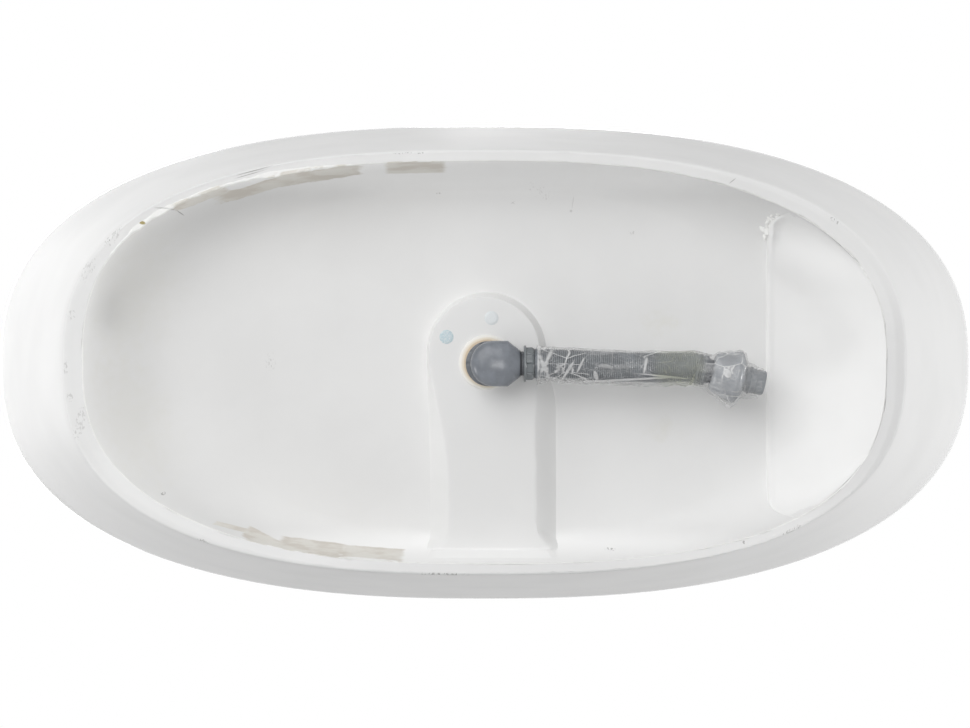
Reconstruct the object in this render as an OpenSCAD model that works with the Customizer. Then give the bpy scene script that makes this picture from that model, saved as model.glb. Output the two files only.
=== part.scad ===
// Freestanding oval bathtub: a cast basin in a flared outer skirt, closed below by a
// coved base pan, with a bonded overflow duct and a swivelling waste with its hose.
//
// Frame: the tub stands upright on z = 0, +Z is up, and the origin is on the floor
// under the middle of the tub. +X runs along the tub towards the hose's free end,
// and +Y points to the side that carries the overflow. Sizes are in millimetres.

/* [Tub] */
// Overall length, at the rim
tub_length = 1700; // [1500:10:1900]
// Overall width, at the rim
tub_width = 830; // [740:10:900]
// Overall height
tub_height = 560; // [520:5:640]
// Length of the foot on the floor
foot_length = 1263; // [1150:1:1320]
// Width of the foot on the floor
foot_width = 637; // [600:1:660]
// Squareness of the oval at the rim, where 2 is a true ellipse
rim_squareness = 2.45; // [2:0.05:3]
// Squareness of the oval at the foot
foot_squareness = 2.7; // [2.2:0.05:3.2]
// Outward bow of the side between foot and rim, as a share of the flare
side_bow = 0.1; // [0:0.01:0.3]

/* [Walls] */
// Wall of the outer skirt
skirt_wall = 10; // [6:0.5:14]
// Wall of the basin
basin_wall = 12; // [8:0.5:16]
// Gap between basin wall and skirt, measured across the rim
wall_gap = 6; // [3:0.5:15]
// Height of the rim band above the skirt
rim_height = 22; // [18:1:34]
// Rounding of the rim's outer edge
rim_round = 6; // [2:0.5:10]
// Thickness of the basin's floor
floor_thickness = 14; // [11:0.5:20]

/* [Basin] */
// Length of the flat part of the basin's floor
basin_floor_length = 872; // [700:2:960]
// Width of the flat part of the basin's floor
basin_floor_width = 456; // [380:2:480]
// Height of the floor's sweep into the walls
sweep_height = 120; // [80:5:150]
// Reach of that sweep at the ends
sweep_end = 170; // [120:5:190]
// Reach of that sweep at the sides
sweep_side = 70; // [50:5:80]

/* [Base] */
// Clear height of the hollow under the tub
cavity_height = 105; // [100:1:130]
// Thickness of the base pan
pan_thickness = 11; // [8:0.5:16]
// Width of the foot's flat ring at the ends
foot_ring_end = 27; // [20:1:36]
// Width of the foot's flat ring at the sides
foot_ring_side = 15; // [12:0.5:20]
// Reach of the pan's cove at the ends
cove_end = 174; // [120:2:200]
// Reach of the pan's cove at the sides
cove_side = 20; // [12:1:30]
// Width of the pan's bonded edge
pan_edge = 7; // [4:0.5:8]

/* [Overflow] */
// Height of the duct under the base pan
duct_height = 25; // [20:1:28]
// Wall of the duct
duct_wall = 5; // [3:0.5:7]
// Radius of the duct's round head
head_radius = 84.5; // [78:0.5:100]
// Width of the duct's stem at its face
stem_width = 133; // [124:1:150]
// Run-out of the stem's sloped sides
stem_slope = 30; // [10:1:36]
// Width of the overflow slot
slot_width = 80; // [50:2:90]
// Height of the overflow slot
slot_height = 13; // [8:0.5:18]
// Depth of the slot's middle below the rim
slot_drop = 100; // [80:2:130]

/* [Waste] */
// Distance of the waste from the tub's middle, along the tub
drain_x = 6; // [-12:1:12]
// Distance of the waste from the tub's middle, across the tub
drain_y = 2; // [-8:1:8]
// Outside radius of the threaded tail
tail_radius = 22.5; // [20:0.5:24]
// Wall of the threaded tail
tail_wall = 3; // [2:0.25:4]
// Radius of the waste's flange
flange_radius = 36; // [34:0.5:42]
// Outside radius of the rubber washer under the duct
washer_radius = 39.5; // [37:0.5:46]
// Outside radius of the back nut
back_nut_radius = 34.5; // [32:0.5:36]
// Travel of the click plug
plug_travel = 9; // [5:0.5:12]

/* [Elbow and hose] */
// Outside radius of the elbow's cup
cup_radius = 34.5; // [32:0.5:38]
// Distance of the cup's middle from the swivel axis
cup_offset = 7.5; // [4:0.5:10]
// Outside radius of the elbow's threaded neck
neck_radius = 21; // [20:0.25:22]
// Radius over the corners of the outlet nut
outlet_nut_radius = 27.5; // [25:0.5:29]
// Outside radius of the corrugated hose
hose_radius = 23; // [20.5:0.5:25]
// Outside radius of the soft seal on the hose's end
seal_radius = 36.5; // [33:0.5:38]
// Outside radius of the outlet spigot
spigot_radius = 19; // [16:0.5:20]

/* [Hidden] */

$fn = 64;
// Points around an oval, and steps along each stretch of its profile
OVAL_POINTS = 80;
SKIRT_STEPS = 8;
COVE_STEPS = 9;
SWEEP_STEPS = 8;
// Overshoot of a cut past the face it opens
CUT = 1;
// Radial clearance of a running fit, and gap between faces that turn past each other
RUN = 0.06;
TURN_GAP = 0.3;

STONE = "whitesmoke";
GREY = "slategray";
CHROME = "silver";
RUBBER = "dimgray";

// ---- Heights of the base and the basin ----
seat_height = 6;
floor_under = cavity_height + pan_thickness;
floor_top = floor_under + floor_thickness;
rim_under = tub_height - rim_height;
flare_top = tub_height - rim_round;

// ---- Ovals of the foot and the base pan ----
toe_a = foot_length / 2 - foot_ring_end;
toe_b = foot_width / 2 - foot_ring_side;
flat_b = toe_b - cove_side;

// ---- Basin: walls lean out, so their thickness across is the wall over the lean's sine ----
rim_width = skirt_wall + wall_gap + basin_wall;
inner_top_a = tub_length / 2 - rim_width;
inner_top_b = tub_width / 2 - rim_width;
inner_round = 8;
inner_top = tub_height - inner_round;
SWEEP_ANGLE = 65;
sweep_top = floor_top + sweep_height * (1 - cos(SWEEP_ANGLE));
sweep_top_a = basin_floor_length / 2 + sweep_end * sin(SWEEP_ANGLE);
sweep_top_b = basin_floor_width / 2 + sweep_side * sin(SWEEP_ANGLE);
wall_rise = inner_top - sweep_top;
across_end = basin_wall * norm([wall_rise, inner_top_a - sweep_top_a]) / wall_rise;
across_side = basin_wall * norm([wall_rise, inner_top_b - sweep_top_b]) / wall_rise;
rim_run = (inner_top - rim_under) / wall_rise;
under_top_a = inner_top_a - (inner_top_a - sweep_top_a) * rim_run + across_end;
under_top_b = inner_top_b - (inner_top_b - sweep_top_b) * rim_run + across_side;

// ---- Overflow ----
face_z = cavity_height - duct_height;
head_y = -16;
head_slope = 12;
stem_x = 12;
// The stem's end leans with the pan's cove: its y under the pan, and at the duct's face
stem_end_high = flat_b - 6;
stem_end_low = toe_b - cove_side * (1 - cos(asin(face_z / cavity_height))) - 4;
slot_z = tub_height - slot_drop;
riser_wall = 2.5;
riser_throat = 10;
riser_top = slot_z + slot_height / 2 + 8;
riser_foot = stem_end_high - duct_wall - riser_throat;
skirt_clearance = 3;

// ---- Waste, from the basin's floor down to the elbow ----
gasket_seat = floor_top - 4;
gasket_thickness = 2;
flange_under = gasket_seat + gasket_thickness;
flange_thickness = 3;
flange_top = flange_under + flange_thickness;
washer_thickness = 4;
back_nut_height = 10;
back_nut_under = face_z - washer_thickness - back_nut_height;
elbow_top = back_nut_under - 2;
tail_end = elbow_top - 14;
outlet_z = elbow_top - 26;
cup_under = outlet_z - 26;
bore_radius = tail_radius - tail_wall;
floor_hole_radius = tail_radius + 3.5;
crossbar_z = floor_top - 28;
crossbar_height = 6;
crossbar_width = 4;

// ---- Click plug, standing on the crossbar ----
cartridge_radius = 8;
cartridge_bore = 5.5;
peg_radius = 4;
peg_clearance = 0.1;
cartridge_base = crossbar_z + crossbar_height;
cartridge_top = flange_top - 5;
spring_base = cartridge_base + 2;
spring_length = 10;
stem_base = spring_base + spring_length;
stem_insert = 6;
plug_seal_thickness = 2;
cap_under = flange_top + plug_seal_thickness;
cap_height = 5;
cap_radius = flange_radius - 3;
cap_boss = 3;

// ---- Outlet, along X from the swivel axis ----
outlet_face = 70;
nut_length = 16;
nut_wall = 3;
neck_wall = 2.4;
cone_length = 4;
neck_end = outlet_face - nut_wall - cone_length;
cuff_radius = neck_radius - neck_wall - 0.1;
cuff_bore = cuff_radius - 3;
cuff_insert = 12;
shoulder_length = 2.5;
hose_start = outlet_face + TURN_GAP + shoulder_length;
hose_wall = 3;
NUT_SIDES = 10;

// ---- Hose, from its start at the shoulder, and the pieces on its end ----
hose_route = [
    [0, 0, 0], [10, 0, 0], [20, 0, 0], [70, 2, 0], [130, 5, 0], [190, 6, 2],
    [235, 5.6, 4], [245, 7.8, 4], [255, 10, 4]
];
hose_origin = [drain_x + hose_start, drain_y, outlet_z];
SPLINE_STEPS = 3;
HOSE_SIDES = 12;
hose_end = hose_origin + hose_route[len(hose_route) - 1];
end_run = hose_end - hose_origin - hose_route[len(hose_route) - 2];
end_yaw = atan2(end_run[1], end_run[0]);
tip_radius = 10.5;
tip_bore = 8;
taper_start = 6;
taper_end = 24;
tip_end = 34;
sleeve_start = 26;
web_start = 38;
web_length = 4;
spigot_wall = 2.5;
spigot_end = 96;
stop_ring = [69, 72];
seal_start = 12;
seal_end = 65;
seal_web = [48, 54];
seal_wall = 3;

// ---- Film, a thin loose sleeve over the hose and the seal ----
FILM_SIDES = 16;
film_wall = 0.4;
film_slack = 2.5;
film_start = 3;
film_end = 67.5;

// ================= Shared geometry =================

// How far the side has flared out at a height, 0 at the foot and 1 at the rim's edge
function flare(z) = let (t = z / flare_top) t + side_bow * t * (1 - t);
function skirt_a(z) = foot_length / 2 + (tub_length - foot_length) / 2 * flare(z);
function skirt_b(z) = foot_width / 2 + (tub_width - foot_width) / 2 * flare(z);
function squareness(z) = foot_squareness + (rim_squareness - foot_squareness) * z / tub_height;

// The basin's underside on the tub's middle plane, where its wall is straight
under_sweep_b = basin_floor_width / 2 + (sweep_side + basin_wall) * sin(SWEEP_ANGLE);
under_sweep_z = floor_under + (sweep_height + floor_thickness) * (1 - cos(SWEEP_ANGLE));
function under_b(z) =
    under_sweep_b + (under_top_b - under_sweep_b) * (z - under_sweep_z) / (rim_under - under_sweep_z);

// A closed oval ring of points with half sizes a and b at height z
function oval(a, b, z) = [
    for (i = [0 : OVAL_POINTS - 1])
        let (
            turn = 360 * i / OVAL_POINTS,
            n = squareness(z),
            k = pow(pow(abs(cos(turn)), n) + pow(abs(sin(turn)), n), -1 / n)
        )
        [a * cos(turn) * k, b * sin(turn) * k, z]
];

// A circle of points about c, square to the direction t
function hoop(c, t, r, sides) =
    let (
        ahead = t / norm(t),
        up = [0, 0, 1] - ahead[2] * ahead,
        v = up / norm(up),
        u = cross(v, ahead)
    )
    [for (i = [0 : sides - 1]) c + r * (cos(360 * i / sides) * u + sin(360 * i / sides) * v)];

// A smooth curve through the points p
function spline(p) = concat(
    [
        for (i = [0 : len(p) - 2], j = [0 : SPLINE_STEPS - 1])
            let (
                u = j / SPLINE_STEPS,
                before = p[max(i - 1, 0)],
                after = p[min(i + 2, len(p) - 1)]
            )
            0.5 * (2 * p[i] + (p[i + 1] - before) * u
                + (2 * before - 5 * p[i] + 4 * p[i + 1] - after) * u * u
                + (3 * p[i] - before - 3 * p[i + 1] + after) * u * u * u)
    ],
    [p[len(p) - 1]]
);
function heading(path, i) = path[min(i + 1, len(path) - 1)] - path[max(i - 1, 0)];

// A skin over rings of equally many points. Open ends get flat caps; a closed one
// joins its last ring to its first.
module loft(rings, closed = false) {
    count = len(rings[0]);
    spans = len(rings) - (closed ? 0 : 1);
    sides = [
        for (r = [0 : spans - 1], i = [0 : count - 1])
            let (
                next = (r + 1) % len(rings),
                j = (i + 1) % count,
                a = r * count + i,
                b = r * count + j,
                c = next * count + i,
                d = next * count + j
            )
            each [[a, c, d], [a, d, b]]
    ];
    caps = closed ? [] : [
        [for (i = [0 : count - 1]) i],
        [for (i = [count - 1 : -1 : 0]) (len(rings) - 1) * count + i]
    ];
    polyhedron(points = [for (ring = rings) each ring], faces = concat(sides, caps), convexity = 6);
}

// An oval body from a profile of [a, b, z] points
module oval_body(profile, closed = false) {
    loft([for (p = profile) oval(p[0], p[1], p[2])], closed);
}

// A hollow tube along a path, with one outside radius for each of its points
module swept_tube(path, radii, wall, sides) {
    last = len(path) - 1;
    outside = [for (i = [0 : last]) hoop(path[i], heading(path, i), radii[i], sides)];
    inside = [for (i = [last : -1 : 0]) hoop(path[i], heading(path, i), radii[i] - wall, sides)];
    loft(concat(outside, inside), closed = true);
}

// A flat ring or pipe between two heights
module pipe(outer, inner, z_low, z_high) {
    translate([0, 0, z_low])
        difference() {
            cylinder(r = outer, h = z_high - z_low);
            translate([0, 0, -CUT]) cylinder(r = inner, h = z_high - z_low + 2 * CUT);
        }
}

module at_drain() { translate([drain_x, drain_y, 0]) children(); }
// Local +Z points along the outlet, from the swivel axis
module at_outlet() { translate([drain_x, drain_y, outlet_z]) rotate([0, 90, 0]) children(); }
// Local +Z points out of the hose's free end
module at_hose_end() { translate(hose_end) rotate([0, 90, end_yaw]) children(); }
// A profile drawn as [across the tub, height], made as wide as w about the drain
module across_drain(w) {
    translate([drain_x - w / 2, 0, 0]) rotate([90, 0, 90]) linear_extrude(w) children();
}

// ================= Tub =================

module overflow_slot_cut() {
    reach = across_side + 2 * riser_wall + 2 * inner_round;
    round_end = slot_height / 2;
    for (side = [-1, 1])
        translate([drain_x + side * (slot_width / 2 - round_end), under_b(slot_z) + riser_wall + CUT, slot_z])
            rotate([90, 0, 0]) cylinder(r = round_end, h = reach);
    translate([drain_x - slot_width / 2 + round_end, under_b(slot_z) + riser_wall + CUT - reach, slot_z - round_end])
        cube([slot_width - slot_height, reach, slot_height]);
}

module basin_shell() {
    underside = concat(
        [
            for (i = [0 : SWEEP_STEPS])
                let (q = SWEEP_ANGLE * i / SWEEP_STEPS)
                [
                    basin_floor_length / 2 + (sweep_end + basin_wall) * sin(q),
                    basin_floor_width / 2 + (sweep_side + basin_wall) * sin(q),
                    floor_under + (sweep_height + floor_thickness) * (1 - cos(q))
                ]
        ],
        [[under_top_a, under_top_b, rim_under]]
    );
    rim = concat(
        [[skirt_a(rim_under), skirt_b(rim_under), rim_under]],
        [
            for (q = [0 : 30 : 90])
                let (inset = rim_round * (1 - cos(q)))
                [tub_length / 2 - inset, tub_width / 2 - inset, flare_top + rim_round * sin(q)]
        ],
        [
            for (q = [90 : -30 : 0])
                let (inset = inner_round * (1 - cos(q)))
                [inner_top_a + inset, inner_top_b + inset, inner_top + inner_round * sin(q)]
        ]
    );
    inside = [
        for (i = [SWEEP_STEPS : -1 : 0])
            let (q = SWEEP_ANGLE * i / SWEEP_STEPS)
            [
                basin_floor_length / 2 + sweep_end * sin(q),
                basin_floor_width / 2 + sweep_side * sin(q),
                floor_top + sweep_height * (1 - cos(q))
            ]
    ];
    color(STONE) difference() {
        oval_body(concat(underside, rim, inside));
        at_drain() {
            translate([0, 0, floor_under - CUT]) cylinder(r = floor_hole_radius, h = floor_thickness + 2 * CUT);
            translate([0, 0, gasket_seat]) cylinder(r = flange_radius + 1.5, h = floor_thickness);
        }
        overflow_slot_cut();
    }
}

module skirt_shell() {
    outside = [
        for (i = [0 : SKIRT_STEPS])
            let (z = rim_under * i / SKIRT_STEPS)
            [skirt_a(z), skirt_b(z), z]
    ];
    inside = [for (i = [SKIRT_STEPS : -1 : 1]) outside[i] - [skirt_wall, skirt_wall, 0]];
    toe = [
        [toe_a + pan_edge, toe_b + pan_edge, seat_height],
        [toe_a, toe_b, seat_height],
        [toe_a, toe_b, 0]
    ];
    color(STONE) oval_body(concat(outside, inside, toe), closed = true);
}

module base_pan() {
    cove_start = asin(seat_height / cavity_height);
    underside = [
        for (i = [0 : COVE_STEPS])
            let (q = 90 - (90 - cove_start) * i / COVE_STEPS)
            [
                toe_a - cove_end * (1 - cos(q)),
                toe_b - cove_side * (1 - cos(q)),
                cavity_height * sin(q)
            ]
    ];
    top = [
        for (i = [0 : COVE_STEPS])
            let (q = 90 * i / COVE_STEPS)
            [
                toe_a + pan_edge - (cove_end + pan_edge) * (1 - cos(q)),
                toe_b + pan_edge - (cove_side + pan_edge) * (1 - cos(q)),
                seat_height + (floor_under - seat_height) * sin(q)
            ]
    ];
    color(STONE) difference() {
        oval_body(concat(underside, top));
        at_drain() translate([0, 0, cavity_height - CUT])
            cylinder(r = floor_hole_radius, h = pan_thickness + 2 * CUT);
        translate([drain_x - slot_width / 2, riser_foot, cavity_height - CUT])
            cube([slot_width, riser_throat, pan_thickness + 2 * CUT]);
    }
}

// ================= Overflow =================

// The duct's keyhole shape from its face upwards, drawn in by a wall
module duct_form(wall, top) {
    low = face_z + wall;
    half = stem_width / 2 - wall;
    rise = (top - face_z) / duct_height;
    low_rise = wall / duct_height;
    translate([0, head_y, low])
        cylinder(
            r1 = head_radius - wall + head_slope * low_rise,
            r2 = head_radius - wall + head_slope * rise,
            h = top - low
        );
    end_high = stem_end_low + (stem_end_high - stem_end_low) * rise - wall;
    end_low = stem_end_low + (stem_end_high - stem_end_low) * low_rise - wall;
    intersection() {
        translate([stem_x, stem_end_low, 0]) rotate([90, 0, 0])
            linear_extrude(stem_end_low - head_y)
                polygon([
                    [-half - stem_slope * low_rise, low], [half + stem_slope * low_rise, low],
                    [half + stem_slope * rise, top], [-half - stem_slope * rise, top]
                ]);
        across_drain(4 * head_radius)
            polygon([[head_y, low], [end_low, low], [end_high, top], [head_y, top]]);
    }
}

vent_spots = [[-58, -39], [11, -68]];
vent_radius = 11;
vent_depth = 2;

module overflow_duct() {
    color(STONE) difference() {
        duct_form(0, cavity_height);
        duct_form(duct_wall, cavity_height + CUT);
        at_drain() translate([0, 0, face_z - CUT])
            cylinder(r = tail_radius + 0.5, h = duct_wall + 2 * CUT);
        for (spot = vent_spots)
            translate([spot[0], spot[1], face_z - CUT]) cylinder(r = vent_radius, h = vent_depth + CUT);
    }
}

module vent_plugs() {
    proud = 0.6;
    color("lightblue") for (spot = vent_spots)
        translate([spot[0], spot[1], face_z - proud]) cylinder(r = vent_radius, h = vent_depth + proud);
}

// The riser is a flat channel behind the basin's wall, from the slot down to the duct
module overflow_riser() {
    foot_in = riser_foot - riser_wall;
    foot_out = riser_foot + riser_throat + riser_wall;
    // Points that keep clear of the floor's sweep, as shares of its angle
    function off_sweep(q, away) = [
        basin_floor_width / 2 + (sweep_side + basin_wall) * sin(q) + away,
        floor_under + (sweep_height + floor_thickness) * (1 - cos(q)) - away
    ];
    depth = skirt_b(riser_top) - skirt_wall - skirt_clearance - under_b(riser_top);
    bend_z = under_sweep_z + 60;
    elbow_out = off_sweep(SWEEP_ANGLE, 2) + [riser_throat + 2 * riser_wall, -6];
    outer = [
        [foot_in, floor_under], off_sweep(42, 2.5), off_sweep(SWEEP_ANGLE, 2),
        [under_b(bend_z), bend_z], [under_b(riser_top), riser_top],
        [under_b(riser_top) + depth, riser_top], [under_b(bend_z) + depth, bend_z],
        elbow_out, [foot_out, floor_under]
    ];
    inner = [
        [riser_foot, floor_under - CUT], [riser_foot, floor_under],
        off_sweep(42, 2.5) + [riser_wall, -0.5], off_sweep(SWEEP_ANGLE, 2) + [riser_wall, -0.5],
        [under_b(bend_z) + riser_wall, bend_z],
        [under_b(riser_top - riser_wall) + riser_wall, riser_top - riser_wall],
        [under_b(riser_top - riser_wall) + depth - riser_wall, riser_top - riser_wall],
        [under_b(bend_z) + depth - riser_wall, bend_z],
        elbow_out - [riser_wall, 0], [foot_out - riser_wall, floor_under],
        [foot_out - riser_wall, floor_under - CUT]
    ];
    color(STONE) difference() {
        across_drain(slot_width + 2 * riser_wall) polygon(outer);
        across_drain(slot_width) polygon(inner);
        overflow_slot_cut();
    }
}

// ================= Waste =================

module waste_body() {
    port_height = 12;
    port_width = 14;
    color(CHROME) at_drain() difference() {
        union() {
            difference() {
                union() {
                    translate([0, 0, flange_under]) cylinder(r = flange_radius, h = flange_thickness);
                    translate([0, 0, tail_end]) cylinder(r = tail_radius, h = flange_top - tail_end);
                }
                translate([0, 0, tail_end - CUT]) cylinder(r = bore_radius, h = flange_top - tail_end + 2 * CUT);
                translate([0, 0, flange_under]) cylinder(r1 = bore_radius, r2 = bore_radius + 6, h = flange_thickness + 0.01);
            }
            for (turn = [0, 90])
                rotate(turn) translate([-bore_radius - CUT, -crossbar_width / 2, crossbar_z])
                    cube([2 * (bore_radius + CUT), crossbar_width, crossbar_height]);
            translate([0, 0, crossbar_z]) cylinder(r = cartridge_radius + 1, h = crossbar_height);
        }
        translate([0, 0, crossbar_z - CUT]) cylinder(r = peg_radius + peg_clearance, h = crossbar_height + 2 * CUT);
        for (turn = [45 : 90 : 315])
            rotate(turn) translate([bore_radius - CUT, -port_width / 2, face_z + duct_wall + 2])
                cube([tail_wall + 2 * CUT, port_width, port_height]);
    }
}

module flange_gasket() {
    color(RUBBER) at_drain() pipe(flange_radius - 1, tail_radius + 0.2, gasket_seat, flange_under);
}

module lower_washer() {
    color("burlywood") at_drain()
        pipe(washer_radius, tail_radius + 0.2, face_z - washer_thickness, face_z);
}

module back_nut() {
    notch_radius = 3;
    notches = 10;
    color(GREY) at_drain() difference() {
        pipe(back_nut_radius, tail_radius + RUN, back_nut_under, back_nut_under + back_nut_height);
        for (i = [0 : notches - 1])
            rotate(360 * (i + 0.5) / notches) translate([back_nut_radius + 1, 0, back_nut_under - CUT])
                cylinder(r = notch_radius, h = back_nut_height - 1, $fn = 24);
    }
}

module cartridge_body() {
    color(CHROME) at_drain() difference() {
        union() {
            translate([0, 0, cartridge_base]) cylinder(r = cartridge_radius, h = cartridge_top - cartridge_base);
            translate([0, 0, crossbar_z - 2]) cylinder(r = peg_radius, h = crossbar_height + 3);
        }
        translate([0, 0, spring_base]) cylinder(r = cartridge_bore, h = cartridge_top - spring_base + CUT);
    }
}

module cartridge_spring() {
    wire = 0.6;
    turns = 5;
    coil_radius = cartridge_bore - wire - 0.5;
    steps = 14;
    rise = spring_length - 2.4 * wire;
    path = [
        for (i = [0 : turns * steps])
            [
                coil_radius * cos(360 * i / steps),
                coil_radius * sin(360 * i / steps),
                spring_base + 1.2 * wire + rise * i / (turns * steps)
            ]
    ];
    color(CHROME) at_drain()
        loft([for (i = [0 : len(path) - 1]) hoop(path[i], heading(path, i), wire, 8)]);
}

module plug_stem() {
    color(CHROME) at_drain() translate([0, 0, stem_base])
        cylinder(r = cartridge_bore - RUN, h = cap_under - cap_boss + stem_insert - stem_base);
}

module plug_cap() {
    dome = 1.5;
    edge = 1.2;
    color(CHROME) at_drain() difference() {
        union() {
            rotate_extrude() polygon([
                [0, cap_under], [cap_radius - edge, cap_under], [cap_radius, cap_under + edge],
                [cap_radius, cap_under + cap_height - dome - edge],
                [cap_radius - edge, cap_under + cap_height - dome], [cap_radius / 2, cap_under + cap_height - dome / 4],
                [0, cap_under + cap_height]
            ]);
            translate([0, 0, cap_under - cap_boss]) cylinder(r = cartridge_radius, h = cap_boss + 1);
        }
        translate([0, 0, cap_under - cap_boss - CUT]) cylinder(r = cartridge_bore - RUN, h = CUT + stem_insert);
    }
}

module plug_seal() {
    color(RUBBER) at_drain() pipe(cap_radius - 2, bore_radius + 3, flange_top, cap_under);
}

// ================= Elbow =================

module elbow_body() {
    wall = 3.5;
    cup_round = 12;
    cup_top = elbow_top - 13;
    collar_bore = tail_radius + RUN;
    collar_wall = 8.5;
    groove_depth = 3.05;
    groove_height = 4;
    shoulder_radius = 25;
    neck_root = neck_radius - 1.3;
    thread_run = 15.5;
    color(GREY) difference() {
        union() {
            at_drain() {
                translate([0, 0, outlet_z]) cylinder(r = tail_radius + collar_wall, h = elbow_top - outlet_z);
                translate([cup_offset, 0, cup_under]) {
                    cylinder(r1 = cup_radius - cup_round, r2 = cup_radius - cup_round * 0.3, h = cup_round * 0.3);
                    translate([0, 0, cup_round * 0.3])
                        cylinder(r1 = cup_radius - cup_round * 0.3, r2 = cup_radius, h = cup_round * 0.7);
                    translate([0, 0, cup_round]) cylinder(r = cup_radius, h = cup_top - cup_under - cup_round);
                }
            }
            at_outlet() {
                translate([0, 0, cup_radius - 4]) cylinder(r1 = shoulder_radius, r2 = neck_root, h = cup_offset + 15);
                cylinder(r = neck_root, h = neck_end);
                translate([0, 0, outlet_face - thread_run])
                    cylinder(r = neck_radius, h = neck_end - outlet_face + thread_run);
            }
        }
        at_drain() {
            translate([0, 0, tail_end]) cylinder(r = collar_bore, h = elbow_top - tail_end + CUT);
            translate([0, 0, tail_end + 6]) cylinder(r = tail_radius + groove_depth, h = groove_height);
            translate([0, 0, cup_under + wall]) cylinder(r = tail_radius - 1, h = tail_end - cup_under);
            translate([cup_offset, 0, cup_under + cup_round]) cylinder(r = cup_radius - wall - 3, h = tail_end - cup_under - cup_round - 4);
        }
        at_outlet() {
            cylinder(r = cuff_bore, h = neck_end + CUT);
            translate([0, 0, neck_end - cuff_insert]) cylinder(r = cuff_radius + 0.1, h = cuff_insert + CUT);
        }
    }
}

module elbow_oring() {
    cord = 1.5;
    color(RUBBER) at_drain() translate([0, 0, tail_end + 8])
        rotate_extrude() translate([tail_radius + 0.05 + cord, 0]) circle(r = cord);
}

module outlet_nut() {
    color(GREY) at_outlet() difference() {
        translate([0, 0, outlet_face - nut_length]) rotate(18)
            cylinder(r = outlet_nut_radius, h = nut_length, $fn = NUT_SIDES);
        translate([0, 0, outlet_face - nut_length - CUT])
            cylinder(r = neck_radius + RUN, h = nut_length - nut_wall + CUT);
        translate([0, 0, outlet_face - nut_wall - CUT]) cylinder(r = cuff_radius + 0.4, h = nut_wall + 2 * CUT);
    }
}

module cone_washer() {
    color(RUBBER) at_outlet() translate([0, 0, neck_end]) difference() {
        cylinder(r1 = neck_radius - 1, r2 = neck_radius - 0.2, h = cone_length);
        translate([0, 0, -CUT]) cylinder(r = cuff_radius, h = cone_length + 2 * CUT);
    }
}

// ================= Hose =================

module hose_inlet_cuff() {
    shoulder_start = outlet_face + TURN_GAP;
    color(GREY) at_outlet() {
        pipe(cuff_radius, cuff_bore, neck_end - cuff_insert, shoulder_start);
        pipe(hose_radius - 0.5, cuff_bore, shoulder_start, shoulder_start + shoulder_length);
    }
}

hose_path = [for (p = spline(hose_route)) hose_origin + p];

module waste_hose() {
    color(GREY) swept_tube(hose_path, [for (p = hose_path) hose_radius], hose_wall, HOSE_SIDES);
}

module hose_end_cuff() {
    root = hose_radius - 4;
    color(GREY) at_hose_end() rotate_extrude() polygon([
        [hose_radius - hose_wall - 2, 0], [hose_radius - 0.5, 0], [hose_radius - 0.5, 2.5], [root, 2.5],
        [root, taper_start], [tip_radius, taper_end], [tip_radius, tip_end],
        [tip_bore, tip_end], [tip_bore, taper_end], [root - 2.5, taper_start]
    ]);
}

module floor_seal() {
    rim = seal_radius;
    color("darkgray") at_hose_end() rotate_extrude() polygon([
        [18, seal_start], [rim - 10, seal_start + 5], [rim - 3.5, seal_start + 12], [rim, seal_start + 20],
        [rim, seal_end], [rim - seal_wall, seal_end], [rim - seal_wall, seal_web[1]],
        [spigot_radius, seal_web[1]], [spigot_radius, seal_web[0]], [rim - seal_wall, seal_web[0]],
        [rim - seal_wall, seal_start + 21], [rim - 6.5, seal_start + 14], [rim - 12, seal_start + 8],
        [18, seal_start + 3]
    ]);
}

module outlet_spigot() {
    chamfer = 2;
    color(GREY) at_hose_end() rotate_extrude() polygon([
        [tip_radius, sleeve_start], [tip_radius + spigot_wall, sleeve_start],
        [tip_radius + spigot_wall, web_start], [spigot_radius, web_start],
        [spigot_radius, stop_ring[0]], [spigot_radius + 2, stop_ring[0]],
        [spigot_radius + 2, stop_ring[1]], [spigot_radius, stop_ring[1]],
        [spigot_radius, spigot_end - chamfer], [spigot_radius - chamfer, spigot_end],
        [spigot_radius - spigot_wall - 0.5, spigot_end], [spigot_radius - spigot_wall - 0.5, web_start + web_length],
        [tip_radius - 1, web_start + web_length], [tip_radius - 1, tip_end], [tip_radius, tip_end]
    ]);
}

module film_wrap() {
    ahead = [cos(end_yaw), sin(end_yaw), 0];
    over_hose = [for (i = [1 : len(hose_route) - 2]) hose_origin + hose_route[i]];
    first = [hose_origin + [film_start, 0, 0]];
    // Distance along the end's axis, and how far the film stands off the axis there
    end_stations = [
        [4, hose_radius + film_slack], [12, seal_radius - 6], [22, seal_radius + film_slack],
        [44, seal_radius + film_slack + 1], [66, seal_radius + film_slack - 0.5],
        [film_end, spigot_radius + film_slack + 3]
    ];
    path = concat(first, over_hose, [for (s = end_stations) hose_end + s[0] * ahead]);
    radii = concat(
        [for (i = [0 : len(over_hose)]) hose_radius + film_slack],
        [for (s = end_stations) s[1]]
    );
    color("aliceblue", 0.5) swept_tube(path, radii, film_wall, FILM_SIDES);
}

basin_shell();
skirt_shell();
base_pan();
overflow_duct();
overflow_riser();
vent_plugs();
waste_body();
flange_gasket();
lower_washer();
back_nut();
cartridge_body();
cartridge_spring();
plug_stem();
plug_cap();
plug_seal();
elbow_body();
elbow_oring();
outlet_nut();
cone_washer();
hose_inlet_cuff();
waste_hose();
hose_end_cuff();
floor_seal();
outlet_spigot();
film_wrap();
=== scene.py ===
"""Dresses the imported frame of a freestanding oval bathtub.

Lengths are in metres. The tub stands upright on z = 0, +X runs along it towards the
free end of the waste hose, and +Y points to the side that carries the overflow.
"""

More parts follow.
